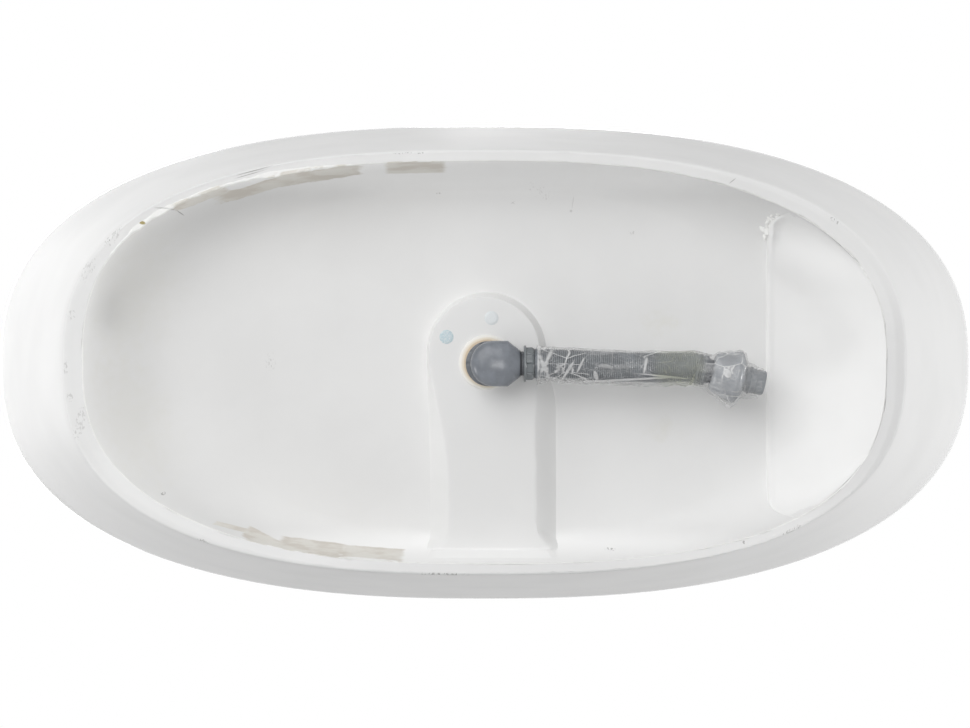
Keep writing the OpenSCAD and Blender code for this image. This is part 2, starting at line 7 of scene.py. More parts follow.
import logging
import math
from collections.abc import Callable, Sequence
from dataclasses import dataclass
from enum import Enum
from functools import cached_property, partial, wraps

import bmesh
import bpy
from mathutils import Matrix, Vector, noise


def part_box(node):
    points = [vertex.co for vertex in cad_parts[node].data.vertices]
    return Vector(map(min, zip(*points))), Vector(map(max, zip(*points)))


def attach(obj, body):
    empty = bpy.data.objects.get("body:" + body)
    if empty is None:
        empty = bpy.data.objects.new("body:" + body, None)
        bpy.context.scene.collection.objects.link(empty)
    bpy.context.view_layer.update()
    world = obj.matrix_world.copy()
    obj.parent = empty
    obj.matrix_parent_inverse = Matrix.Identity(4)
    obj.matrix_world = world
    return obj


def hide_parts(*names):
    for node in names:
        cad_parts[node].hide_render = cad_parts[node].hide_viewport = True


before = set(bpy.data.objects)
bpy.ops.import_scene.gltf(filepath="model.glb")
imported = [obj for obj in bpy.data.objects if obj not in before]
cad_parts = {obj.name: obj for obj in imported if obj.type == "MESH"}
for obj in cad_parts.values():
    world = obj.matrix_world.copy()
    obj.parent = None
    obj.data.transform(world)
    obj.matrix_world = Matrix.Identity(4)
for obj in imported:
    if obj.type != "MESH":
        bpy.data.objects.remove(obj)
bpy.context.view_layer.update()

LOG = logging.getLogger("bathtub")
MM = 0.001
TURN = 2 * math.pi
# Distance below which two vertices are one
WELD = 0.000002

RingShape = Callable[[float], Vector]
Profile = Sequence[tuple[float, float]]
Colour = tuple[float, float, float, float]
Mesh = bmesh.types.BMesh
Material = bpy.types.Material
Piece = bpy.types.Object
Socket = bpy.types.NodeSocket


def smooth_step(value: float, low: float, high: float) -> float:
    """A smooth rise from 0 at low to 1 at high."""
    t = min(max((value - low) / (high - low), 0.0), 1.0)
    return t * t * (3 - 2 * t)


def blend(stops: Profile, at: float) -> float:
    """Reads a value between stops.

    Args:
        stops: Pairs of position and value, in rising order of position.
        at: The position to read.

    Returns:
        The value there, eased between its two stops and held beyond the ends.
    """
    for (low, before), (high, after) in zip(stops, stops[1:]):
        if at <= high:
            return before + (after - before) * smooth_step(at, low, high)
    return stops[-1][1]


def narrow(low: float, high: float, holds: Callable[[float], bool]) -> tuple[float, float]:
    """Closes in on where a test that holds at low stops holding on the way to high."""
    for _ in range(24):
        middle = (low + high) / 2
        if holds(middle):
            low = middle
        else:
            high = middle
    return low, high


def ring_shape(point: Callable[..., Vector]) -> Callable[..., RingShape]:
    """Makes a function of some sizes and an angle give a whole ring for its sizes."""
    @wraps(point)
    def ring(*sizes: object) -> RingShape:
        """The ring for these sizes."""
        return partial(point, *sizes)
    return ring


@ring_shape
def round_ring(centre: Vector, radius: float, z: float, angle: float) -> Vector:
    """A point of a level circle about a centre."""
    return Vector((centre.x + radius * math.cos(angle), centre.y + radius * math.sin(angle), z))


@ring_shape
def between(first: RingShape, second: RingShape, share: float, angle: float) -> Vector:
    """A point part of the way from one ring to another."""
    return first(angle).lerp(second(angle), share)


def outwards(point: Vector) -> Vector:
    """The level direction from the Z axis to a point."""
    return Vector((point.x, point.y, 0)).normalized()


# ================= Meshes =================


class Ends(Enum):
    """How a loft finishes at its first and last ring."""

    JOINED = "joined"
    CAPPED = "capped"
    OPEN = "open"


def extrude_loop(bm: Mesh, loop: list, step: Sequence[float]) -> tuple[list, list]:
    """Extrudes an open edge loop by a step and gives its new vertices and edges."""
    grown = bmesh.ops.extrude_edge_only(bm, edges=loop)["geom"]
    verts = [item for item in grown if isinstance(item, bmesh.types.BMVert)]
    bmesh.ops.translate(bm, verts=verts, vec=step)
    edges = [item for item in grown if isinstance(item, bmesh.types.BMEdge)]
    return verts, [edge for edge in edges if edge.is_boundary]


def loft(rings: Sequence[RingShape], segments: int, ends: Ends = Ends.JOINED) -> Mesh:
    """Grows a tube ring by ring from one circle, then sets each ring to its shape.

    Args:
        rings: One function of the angle for each ring.
        segments: Points around a ring.
        ends: How the first and last ring are finished.

    Returns:
        The mesh in the making.
    """
    bm = bmesh.new()
    bmesh.ops.create_circle(bm, cap_ends=False, radius=1, segments=segments)
    first = list(bm.edges)
    last = first
    for _ in rings[1:]:
        last = extrude_loop(bm, last, (0, 0, 1))[1]
    if ends is Ends.JOINED:
        bmesh.ops.bridge_loops(bm, edges=first + last)
    elif ends is Ends.CAPPED:
        bmesh.ops.edgeloop_fill(bm, edges=first)
        bmesh.ops.edgeloop_fill(bm, edges=last)
    for vert in bm.verts:
        vert.co = rings[round(vert.co.z)](math.atan2(vert.co.y, vert.co.x))
    return bm


def turned(
    profile: Profile, steps: int = 96, angle: float = TURN, start: tuple[float, float] = (1, 0)
) -> Mesh:
    """Turns a profile about Z.

    Args:
        profile: Pairs of radius and height. It closes on itself unless both ends lie
            on the axis.
        steps: Steps in the turn.
        angle: How far it turns, a full turn unless given.
        start: The direction along X and Y in which the profile lies.

    Returns:
        The mesh in the making.
    """
    bm = bmesh.new()
    verts = [
        bm.verts.new((radius * start[0], radius * start[1], height)) for radius, height in profile
    ]
    edges = [bm.edges.new(pair) for pair in zip(verts, verts[1:])]
    if profile[0][0] > 0 or profile[-1][0] > 0:
        edges.append(bm.edges.new((verts[-1], verts[0])))
    bmesh.ops.spin(
        bm, geom=[*verts, *edges], cent=(0, 0, 0), axis=(0, 0, 1), dvec=(0, 0, 0), angle=angle,
        steps=steps, use_merge=angle == TURN, use_normal_flip=False, use_duplicate=False,
    )
    return bm


def tidy(bm: Mesh) -> None:
    """Welds doubles and turns the faces outwards."""
    bmesh.ops.remove_doubles(bm, verts=bm.verts, dist=WELD)
    bmesh.ops.recalc_face_normals(bm, faces=bm.faces)


def soften(bm: Mesh, offset: float, angle: float, segments: int) -> None:
    """Rounds the edges that turn more sharply than an angle in degrees."""
    tidy(bm)
    sharp = [
        edge for edge in bm.edges
        if len(edge.link_faces) == 2 and edge.calc_face_angle() > math.radians(angle)
    ]
    bmesh.ops.bevel(
        bm, geom=sharp, offset=offset, offset_type="OFFSET", affect="EDGES",
        segments=segments, profile=0.5, material=-1, clamp_overlap=True,
    )


def place(bm: Mesh, matrix: Matrix) -> None:
    """Moves the whole mesh."""
    bmesh.ops.transform(bm, matrix=matrix, verts=bm.verts)


def along(origin: Vector, direction: Vector) -> Matrix:
    """The matrix that puts local Z along a direction, from an origin."""
    turn = direction.to_track_quat("Z", "Y").to_matrix().to_4x4()
    return Matrix.Translation(origin) @ turn


def link(name: str, data: bpy.types.ID) -> Piece:
    """Adds an object to the scene."""
    item = bpy.data.objects.new(name, data)
    bpy.context.scene.collection.objects.link(item)
    return item


def to_mesh(bm: Mesh, name: str) -> bpy.types.Mesh:
    """Turns a mesh in the making, which is freed, into mesh data."""
    mesh = bpy.data.meshes.new(name)
    bm.to_mesh(mesh)
    bm.free()
    return mesh


@dataclass(frozen=True)
class Dress:
    """What a finished piece rides on, wears and stands for."""

    body: str
    slot: str
    material: Material
    nodes: tuple[str, ...] = ()
    crease: float = 32


def settle(bm: Mesh, name: str, dress: Dress) -> Piece:
    """Makes an object of a mesh and puts it on its body.

    Args:
        bm: The mesh in the making, which is freed.
        name: The piece's name.
        dress: Its body, slot, material and the CAD nodes it stands for.

    Returns:
        The finished piece.
    """
    tidy(bm)
    mesh = to_mesh(bm, name)
    mesh.shade_smooth()
    mesh.set_sharp_from_angle(angle=math.radians(dress.crease))
    mesh.materials.append(dress.material)
    piece = link(name, mesh)
    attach(piece, dress.body)
    if dress.nodes:
        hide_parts(*dress.nodes)
    LOG.info("%s: %d faces, on %s", name, len(mesh.polygons), dress.body)
    return piece


def cut(bm: Mesh, tool: Mesh) -> Mesh:
    """Cuts one closed mesh out of another.

    Args:
        bm: The mesh that is cut, which is freed.
        tool: The cutter, which is freed.

    Returns:
        What is left.
    """
    objects = []
    for source in (bm, tool):
        tidy(source)
        objects.append(link("cutting", to_mesh(source, "cutting")))
    body, cutter = objects
    modifier = body.modifiers.new("cut", "BOOLEAN")
    modifier.object = cutter
    modifier.operation = "DIFFERENCE"
    modifier.solver = "EXACT"
    graph = bpy.context.evaluated_depsgraph_get()
    result = bmesh.new()
    result.from_mesh(body.evaluated_get(graph).data)
    for item in objects:
        mesh = item.data
        bpy.data.objects.remove(item)
        bpy.data.meshes.remove(mesh)
    return result


# ================= Shader building =================


class Signal:
    """A number in a shader, with Python's arithmetic."""

    def __init__(self, graph: "Graph", socket: Socket) -> None:
        """Wraps one output socket."""
        self.graph = graph
        self.socket = socket

    def _math(self, operation: str, other: "Signal | float") -> "Signal":
        """Adds one Math node."""
        return self.graph.signal("ShaderNodeMath", {"operation": operation}, {0: self, 1: other})

    def __add__(self, other: "Signal | float") -> "Signal":
        """Sum."""
        return self._math("ADD", other)

    def __sub__(self, other: "Signal | float") -> "Signal":
        """Difference."""
        return self._math("SUBTRACT", other)

    def __mul__(self, other: "Signal | float") -> "Signal":
        """Product."""
        return self._math("MULTIPLY", other)

    def __or__(self, other: "Signal | float") -> "Signal":
        """The larger of two masks."""
        return self._math("MAXIMUM", other)

    def ramp(self, low: float, high: float) -> "Signal":
        """A smooth rise from 0 at low to 1 at high, or a fall where low is the larger."""
        return self.graph.signal(
            "ShaderNodeMapRange", {"interpolation_type": "SMOOTHSTEP"},
            {"Value": self, "From Min": low, "From Max": high},
        )


@dataclass(frozen=True)
class Mark:
    """A soft-edged oval or brushed block on a surface, where a stain, scuff or dot sits."""

    centre: tuple[float, float, float]
    reach: tuple[float, float, float]
    turn: float = 0
    ragged: float = 0
    soft: float = 0.3
    block: bool = False
    strength: float = 1


class Graph:
    """The nodes of one material or of the world."""

    def __init__(self, owner: Material | bpy.types.World, output: str) -> None:
        """Clears the owner's nodes and adds its output node."""
        self.owner = owner
        owner.use_nodes = True
        self.tree = owner.node_tree
        self.tree.nodes.clear()
        self.output = self.node(output)

    @classmethod
    def of_material(cls, name: str) -> "Graph":
        """Starts an empty material."""
        return cls(bpy.data.materials.new(name), "ShaderNodeOutputMaterial")

    @cached_property
    def position(self) -> Socket:
        """The place on the piece, in its own frame."""
        return self.node("ShaderNodeTexCoord").outputs["Object"]

    def node(
        self, kind: str, settings: dict | None = None, sockets: dict | None = None
    ) -> bpy.types.Node:
        """Adds a node.

        Args:
            kind: The node's type.
            settings: Its own settings, set first.
            sockets: Values or links of its input sockets, by name or number.

        Returns:
            The new node.
        """
        made = self.tree.nodes.new(kind)
        for name, value in (settings or {}).items():
            setattr(made, name, value)
        for key, value in (sockets or {}).items():
            if isinstance(value, Signal):
                value = value.socket
            if isinstance(value, Socket):
                self.tree.links.new(value, made.inputs[key])
            else:
                made.inputs[key].default_value = value
        return made

    def signal(
        self, kind: str, settings: dict | None, sockets: dict, output: str | int = 0
    ) -> Signal:
        """Adds a node and gives one of its outputs as a number."""
        return Signal(self, self.node(kind, settings, sockets).outputs[output])

    def vector(self, operation: str, *values: Socket | Sequence[float]) -> Socket:
        """Adds one Vector Math node and gives its vector, or its value for a length."""
        node = self.node("ShaderNodeVectorMath", {"operation": operation}, dict(enumerate(values)))
        return node.outputs["Value" if operation == "LENGTH" else "Vector"]

    def noise(self, scale: float, detail: float, stretch: Sequence[float] = (1, 1, 1)) -> Signal:
        """Cloudy noise from 0 to 1, with a number of cells to a metre."""
        source = self.vector("MULTIPLY", self.position, stretch)
        sockets = {"Vector": source, "Scale": scale, "Detail": detail}
        return self.signal("ShaderNodeTexNoise", None, sockets)

    def cracks(
        self, scale: float, stretch: Sequence[float], feature: str, output: str = "Distance"
    ) -> Signal:
        """A cell pattern, as the distance to a cell's edge or a value for each cell."""
        source = self.vector("MULTIPLY", self.position, stretch)
        sockets = {"Vector": source, "Scale": scale}
        return self.signal("ShaderNodeTexVoronoi", {"feature": feature}, sockets, output)

    def axis(self, letter: str, source: Socket | None = None) -> Signal:
        """One coordinate of a vector, or of the position."""
        return self.signal("ShaderNodeSeparateXYZ", None, {0: source or self.position}, letter)

    def distance(self, centre: Sequence[float], scale: Sequence[float]) -> Signal:
        """The distance from a point, with each axis scaled first."""
        away = self.vector("SUBTRACT", self.position, centre)
        return Signal(self, self.vector("LENGTH", self.vector("MULTIPLY", away, scale)))

    def spot(self, mark: Mark, ragged: Signal) -> Signal:
        """A mask that is 1 inside a mark and fades at its edge."""
        mapped = self.node(
            "ShaderNodeMapping", {"vector_type": "TEXTURE"},
            {"Vector": self.position, "Location": mark.centre,
             "Rotation": (0, 0, math.radians(mark.turn)), "Scale": mark.reach},
        ).outputs[0]
        if mark.block:
            size = self.vector("ABSOLUTE", mapped)
            reach = self.axis("X", size) | self.axis("Y", size)
        else:
            reach = Signal(self, self.vector("LENGTH", mapped))
        reach = reach + (ragged - 0.5) * mark.ragged
        return reach.ramp(1.05, 1.05 - mark.soft) * mark.strength

    def mix(self, factor: Signal, first: Colour | Socket, second: Colour | Socket) -> Socket:
        """Mixes two colours."""
        sockets = {0: factor, 6: first, 7: second}
        return self.node("ShaderNodeMix", {"data_type": "RGBA"}, sockets).outputs[2]

    def stain(
        self, colour: Socket, marks: Sequence[Mark], ragged: Signal, tint: Colour | Socket,
        strength: Signal | float = 1,
    ) -> Socket:
        """Lays marks of one tint over a colour."""
        for mark in marks:
            colour = self.mix(self.spot(mark, ragged) * strength, colour, tint)
        return colour

    def bump(self, height: Signal, depth: float, strength: float) -> Socket:
        """A normal from a height from 0 to 1 and its depth in metres."""
        sockets = {"Height": height, "Distance": depth, "Strength": strength}
        return self.node("ShaderNodeBump", None, sockets).outputs[0]

    def mix_shader(
        self, factor: Signal | Socket, first: bpy.types.Node, second: bpy.types.Node
    ) -> bpy.types.Node:
        """Mixes two shaders."""
        sockets = {0: factor, 1: first.outputs[0], 2: second.outputs[0]}
        return self.node("ShaderNodeMixShader", None, sockets)

    def finish(self, shader: bpy.types.Node) -> Material | bpy.types.World:
        """Links the surface and hands over the material or world."""
        self.tree.links.new(shader.outputs[0], self.output.inputs["Surface"])
        return self.owner

    def principled(self, sockets: dict) -> Material:
        """Finishes with one Principled shader."""
        return self.finish(self.node("ShaderNodeBsdfPrincipled", None, sockets))


def grey(level: float) -> Colour:
    """A neutral colour."""
    return (level, level, level, 1)


def tinted(colour: Colour, by: float) -> Colour:
    """A colour made lighter or darker by a factor."""
    return tuple(min(by * part, 1.0) for part in colour[:3]) + (1,)


# ================= Finishes =================


class StoneSkin(Enum):
    """Where a cast stone surface lies, which decides its gloss and its marks."""

    POLISHED = "polished"
    OUTER = "outer"
    UNDERSIDE = "underside"


@dataclass(frozen=True)
class CastStone:
    """White cast stone under its gelcoat."""

    name: str
    skin: StoneSkin
    base: Colour = (0.83, 0.83, 0.825, 1)
    # Painted light: the underside turns towards this lighter colour near its long sides, over the steep
    # side coves
    cove: Colour = (0.96, 0.96, 0.955, 1)
    painted_light_from: float = 0.25
    painted_light_to: float = 0.285
    resin: Colour = (0.66, 0.62, 0.56, 1)
    thin_resin: Colour = (0.77, 0.75, 0.7, 1)
    soot: Colour = (0.33, 0.32, 0.31, 1)
    # Tint of the blush marks: warm on the pan, grey painted shade on the skirt's foot ring
    blush_and_shade_tint: Colour = (0.76, 0.75, 0.69, 1)
    patches: tuple[Mark, ...] = ()
    cracks: tuple[Mark, ...] = ()
    scuffs: tuple[Mark, ...] = ()
    blush_and_shade_marks: tuple[Mark, ...] = ()

    def build(self) -> Material:
        """Makes the material."""
        graph = Graph.of_material(self.name)
        raw = self.skin is StoneSkin.UNDERSIDE
        clouds = graph.noise(7, 3)
        grain = graph.noise(420, 3)
        colour = graph.mix(clouds.ramp(0.35, 0.7), self.base, tinted(self.base, 0.97))
        colour = graph.mix(grain.ramp(0.66, 0.84) * 0.12, colour, grey(0.7))
        if raw:
            # Painted light: lightens the underside near its long sides, over the side coves
            across = graph.axis("Y")
            cove = (across * across).ramp(self.painted_light_from ** 2, self.painted_light_to ** 2)
            colour = graph.mix(cove, colour, self.cove)
        patchy = graph.noise(60, 4)
        strokes = graph.noise(50, 4, (0.35, 1.6, 0.6)).ramp(0.4, 0.6)
        crumbs = graph.noise(260, 4)
        flecks = graph.noise(330, 5, (1, 0.45, 1)).ramp(0.5, 0.58)
        # Blush marks: warm tints on the pan, painted shade on the skirt's foot ring
        colour = graph.stain(colour, self.blush_and_shade_marks, patchy, self.blush_and_shade_tint)
        tone = graph.mix(strokes, self.resin, self.thin_resin)
        colour = graph.stain(colour, self.patches, patchy, tone, 0.9)
        colour = graph.stain(colour, self.cracks, patchy, self.soot, 0.7)
        colour = graph.stain(colour, self.scuffs, crumbs, self.soot, flecks * 0.7)
        gloss = {StoneSkin.POLISHED: 0.12, StoneSkin.OUTER: 0.36, StoneSkin.UNDERSIDE: 0.45}
        rough = clouds * 0.08 + gloss[self.skin] + patchy * (0.12 if raw else 0.02)
        height = clouds * 0.7 + patchy * (0.2 if raw else 0.03)
        return graph.principled({
            "Base Color": colour, "Roughness": rough, "IOR": 1.5,
            "Specular IOR Level": 0.5 if self.skin is StoneSkin.POLISHED else 0.14,
            "Coat Weight": 0.3 if self.skin is StoneSkin.POLISHED else 0.0,
            "Coat Roughness": 0.08,
            "Normal": graph.bump(height, 0.9 * MM if raw else 0.2 * MM, 0.6),
        })


@dataclass(frozen=True)
class BondResin:
    """Cast resin squeezed out along a joint."""

    pale: Colour = (0.9, 0.9, 0.885, 1)
    tan: Colour = (0.7, 0.67, 0.61, 1)
    amber: Colour = (0.36, 0.3, 0.12, 1)
    patches: tuple[Mark, ...] = ()
    cracks: tuple[Mark, ...] = ()
    drops: tuple[Mark, ...] = ()

    def build(self) -> Material:
        """Makes the material."""
        graph = Graph.of_material("bond_resin")
        patches = graph.noise(40, 5)
        grain = graph.noise(260, 4)
        colour = graph.mix(grain.ramp(0.68, 0.8) * 0.3, self.pale, grey(0.55))
        worn = patches.ramp(0.42, 0.56) * 0.8
        colour = graph.stain(colour, self.patches, patches, self.tan, worn)
        colour = graph.stain(colour, self.cracks, patches, grey(0.32), 0.7)
        colour = graph.stain(colour, self.drops, patches, self.amber)
        return graph.principled({
            "Base Color": colour, "Roughness": grain * 0.3 + 0.35,
            "Normal": graph.bump(grain, 0.6 * MM, 0.7),
        })


@dataclass(frozen=True)
class Plastic:
    """Moulded plastic, with a faint texture and dust flecks."""

    name: str
    colour: Colour
    gloss: float
    texture: float = 0.05 * MM
    sheen_spread: float = 0.1
    # Bands darkened nearly to black: painted shade in a gap between parts
    gap_shade: tuple[Mark, ...] = ()

    def build(self) -> Material:
        """Makes the material."""
        graph = Graph.of_material(self.name)
        clouds = graph.noise(38, 3)
        grain = graph.noise(1500, 2)
        colour = graph.mix(clouds.ramp(0.38, 0.72), self.colour, tinted(self.colour, 1.28))
        dust = graph.noise(300, 5).ramp(0.66, 0.8)
        colour = graph.mix(dust * 0.22, colour, grey(0.55))
        # Painted shade: darkens the marked bands nearly to black
        colour = graph.stain(colour, self.gap_shade, dust, grey(0.05), 0.8)
        return graph.principled({
            "Base Color": colour, "Roughness": clouds * self.sheen_spread + self.gloss,
            "Normal": graph.bump(grain, self.texture, 0.6),
        })


@dataclass(frozen=True)
class VentPaint:
    """The two vent plugs, one blue-green and one nearly covered by white skin."""

    covered_from: float
    plain: Colour = (0.5, 0.62, 0.67, 1)
    covered: Colour = (0.74, 0.765, 0.78, 1)

    def build(self) -> Material:
        """Makes the material."""
        graph = Graph.of_material("vent_plug")
        dabs = graph.noise(480, 5)
        skin = graph.axis("X").ramp(self.covered_from, self.covered_from + 5 * MM)
        colour = graph.mix(skin, self.plain, self.covered)
        colour = graph.mix(dabs.ramp(0.42, 0.62) * 0.7, colour, (0.76, 0.8, 0.81, 1))
        colour = graph.mix(dabs.ramp(0.68, 0.74) * 0.6, colour, (0.3, 0.42, 0.47, 1))
        return graph.principled({
            "Base Color": colour, "Roughness": dabs * 0.2 + 0.35,
            "Normal": graph.bump(dabs, 0.3 * MM, 0.7),
        })


@dataclass(frozen=True)
class TanWasher:
    """A tan rubber washer that is darker towards its middle."""

    centre: tuple[float, float, float]
    inner: float
    outer: float
    tan: Colour = (0.64, 0.52, 0.38, 1)
    buff: Colour = (0.78, 0.71, 0.59, 1)
    cream: Colour = (0.87, 0.85, 0.81, 1)

    def build(self) -> Material:
        """Makes the material."""
        graph = Graph.of_material("tan_washer")
        blotch = graph.noise(60, 4)
        away = graph.distance(self.centre, (1, 1, 0)) + (blotch - 0.5) * (2 * MM)
        middle = self.inner + 0.4 * (self.outer - self.inner)
        colour = graph.mix(away.ramp(self.inner, middle), self.tan, self.buff)
        colour = graph.mix(away.ramp(middle, self.outer), colour, self.cream)
        return graph.principled({
            "Base Color": colour, "Roughness": blotch * 0.2 + 0.5,
            "Normal": graph.bump(graph.noise(900, 2), 0.06 * MM, 0.7),
        })


@dataclass(frozen=True)
class Metal:
    """Plated or drawn metal, with fine wiping marks."""

    name: str
    colour: Colour
    gloss: float

    def build(self) -> Material:
        """Makes the material."""
        graph = Graph.of_material(self.name)
        wiping = graph.noise(90, 4, (1, 6, 1))
        spots = graph.noise(55, 3)
        dull = graph.mix(spots.ramp(0.4, 0.7), self.colour, tinted(self.colour, 0.9))
        return graph.principled({
            "Base Color": dull,
            "Metallic": 1.0, "Roughness": wiping * 0.08 + spots * 0.05 + self.gloss,
            "Normal": graph.bump(wiping, 0.01 * MM, 0.4),
        })


@dataclass(frozen=True)
class ClearFilm:
    """Thin clear wrapping film, white where it is creased, with painted glints where its facets would
    catch the light.
    """

    # White marks: partly whitened creases and partly painted glints
    whitened_and_glints: tuple[Mark, ...] = ()
    olive: tuple[Mark, ...] = ()

    def build(self) -> Material:
        """Makes the material."""
        graph = Graph.of_material("clear_film")
        wander = graph.noise(24, 3)
        broad = graph.cracks(46, (0.55, 1.1, 1.1), "DISTANCE_TO_EDGE")
        close = graph.cracks(105, (0.5, 1.2, 1.2), "DISTANCE_TO_EDGE")
        facets = graph.cracks(80, (0.6, 1.0, 1.0), "F1", "Color")
        streaks = graph.noise(34, 5, (0.3, 2.2, 2.2))
        lines = broad.ramp(0.05, 0.0) * wander.ramp(0.42, 0.58) * 0.7
        lines = lines | (close.ramp(0.035, 0.0) * wander.ramp(0.62, 0.5) * 0.45)
        # Painted highlight: some facet cells turn white as if they caught the light
        painted_glints = facets.ramp(0.86, 0.9) * streaks.ramp(0.45, 0.62) * 0.4
        veil = lines | painted_glints | (streaks.ramp(0.52, 0.66) * 0.22)
        # Marked white bands, partly whitened creases and partly painted glints
        for mark in self.whitened_and_glints:
            veil = veil | (graph.spot(mark, streaks) * (streaks * 0.8 + 0.3))
        edge = graph.signal("ShaderNodeLayerWeight", None, {"Blend": 0.25}, "Facing")
        pale: Colour | Socket = grey(0.88)
        for mark in self.olive:
            stained = graph.spot(mark, wander)
            veil = veil | (stained * (streaks * 0.16 + 0.02))
            pale = graph.mix(stained, pale, (0.7, 0.72, 0.6, 1))
        clear = graph.node("ShaderNodeBsdfTransparent", None, {"Color": grey(0.96)})
        shine = graph.node("ShaderNodeBsdfPrincipled", None, {
            "Base Color": pale, "Roughness": wander * 0.1 + 0.08, "IOR": 1.5,
            "Normal": graph.bump(broad * 0.8 + close * 0.4, 5 * MM, 0.8),
        })
        return graph.finish(graph.mix_shader(edge * 0.24 + veil * 0.8 + 0.06, clear, shine))


# ================= Shared forms =================


@dataclass(frozen=True)
class TubForm:
    """The outside of the tub: an oval that flares out from the foot to the rim."""

    rim_a: float
    rim_b: float
    height: float
    foot_a: float = 631.5 * MM
    foot_b: float = 318.5 * MM
    rim_squareness: float = 2.45
    foot_squareness: float = 2.56
    side_bow: float = 0.1
    rim_round: float = 6 * MM
    rim_height: float = 22 * MM

    @classmethod
    def from_frame(cls) -> "TubForm":
        """Takes the rim's size and the height from the frame."""
        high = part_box("basin_shell")[1]
        return cls(high[0], high[1], high[2])

    def side(self, z: float) -> tuple[float, float]:
        """Half length and half width of the outside at a height."""
        t = z / (self.height - self.rim_round)
        flare = t + self.side_bow * t * (1 - t)
        return (
            self.foot_a + (self.rim_a - self.foot_a) * flare,
            self.foot_b + (self.rim_b - self.foot_b) * flare,
        )

    def squareness(self, z: float) -> float:
        """How square the oval is at a height."""
        return self.foot_squareness + (self.rim_squareness - self.foot_squareness) * z / self.height

    def point(self, a: float, b: float, z: float, angle: float, square: float = 0) -> Vector:
        """A point of the oval with half sizes a and b at height z, made squarer by some."""
        n = self.squareness(z) + square
        c, s = math.cos(angle), math.sin(angle)
        k = (abs(c) ** n + abs(s) ** n) ** (-1 / n)
        return Vector((a * c * k, b * s * k, z))

    def ring(self, a: float, b: float, z: float) -> RingShape:
        """A ring of the oval."""
        return partial(self.point, a, b, z)

    def rounded(
        self, a: float, b: float, z: float, radius: float, angles: Sequence[int], side: int = 1
    ) -> list[RingShape]:
        """Rings round an edge, at angles in degrees, that lean in or, for side -1, out."""
        rings = []
        for q in map(math.radians, angles):
            inset = side * radius * (1 - math.cos(q))
            rings.append(self.ring(a - inset, b - inset, z + radius * math.sin(q)))
        return rings


@dataclass(frozen=True)
class BaseForm:
    """The coved pan that closes the underside, inside the foot ring."""

    tub: TubForm
    toe_a: float
    toe_b: float
    height: float
    thickness: float = 11 * MM
    seat: float = 6 * MM
    edge: float = 7 * MM
    cove_end: float = 174 * MM
    cove_side: float = 40 * MM
    hand_skew: float = 0.12

    @classmethod
    def from_frame(cls, tub: TubForm) -> "BaseForm":
        """Takes the pan's reach and the hollow's height from the frame."""
        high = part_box("base_pan")[1]
        edge = cls.edge
        return cls(tub, high[0] - edge, high[1] - edge, high[2] - cls.thickness)

    def skew(self, angle: float) -> float:
        """How much squarer than the foot the joint is, as laid by hand."""
        return 0.05 + self.hand_skew * math.sin(2 * angle)

    def point(self, a: float, b: float, z: float, angle: float) -> Vector:
        """A point of the pan's own oval."""
        return self.tub.point(a, b, z, angle, self.skew(angle))

    def ring(self, a: float, b: float, z: float) -> RingShape:
        """A ring of the pan's own oval."""
        return partial(self.point, a, b, z)

    def under_sizes(self, q: float) -> tuple[float, float, float]:
        """Half sizes and height of the underside, with q from 0 at the toe to 1 at the flat."""
        away = 1 - math.cos(q * math.pi / 2)
        return (
            self.toe_a - self.cove_end * away,
            self.toe_b - self.cove_side * away,
            self.height * math.sin(q * math.pi / 2),
        )

    def top_sizes(self, q: float) -> tuple[float, float, float]:
        """Half sizes and height of the pan's upper face."""
        away = 1 - math.cos(q * math.pi / 2)
        rise = self.height + self.thickness - self.seat
        return (
            self.toe_a + self.edge - (self.cove_end + self.edge) * away,
            self.toe_b + self.edge - (self.cove_side + self.edge) * away,
            self.seat + rise * math.sin(q * math.pi / 2),
        )

    def gap(self, x: float, y: float) -> float:
        """How far a point of the floor lies inside the toe."""
        n = self.tub.foot_squareness + self.skew(math.atan2(y / self.toe_b, x / self.toe_a))
        u, v = abs(x) / self.toe_a, abs(y) / self.toe_b
        size = (u ** n + v ** n) ** (1 / n)
        slope = math.hypot(u ** (n - 1) / self.toe_a, v ** (n - 1) / self.toe_b)
        return (1 - size) / (slope * size ** (1 - n))

    def under_height(self, x: float, y: float) -> float:
        """Height of the underside over a point of the floor."""
        def inside(q: float) -> bool:
            """Whether the point lies inside the underside's ring at q."""
            a, b, z = self.under_sizes(q)
            n = self.tub.squareness(z) + self.skew(math.atan2(y / b, x / a))
            return (abs(x) / a) ** n + (abs(y) / b) ** n <= 1

        return self.under_sizes(sum(narrow(0.0, 1.0, inside)) / 2)[2]


# ================= Tub =================


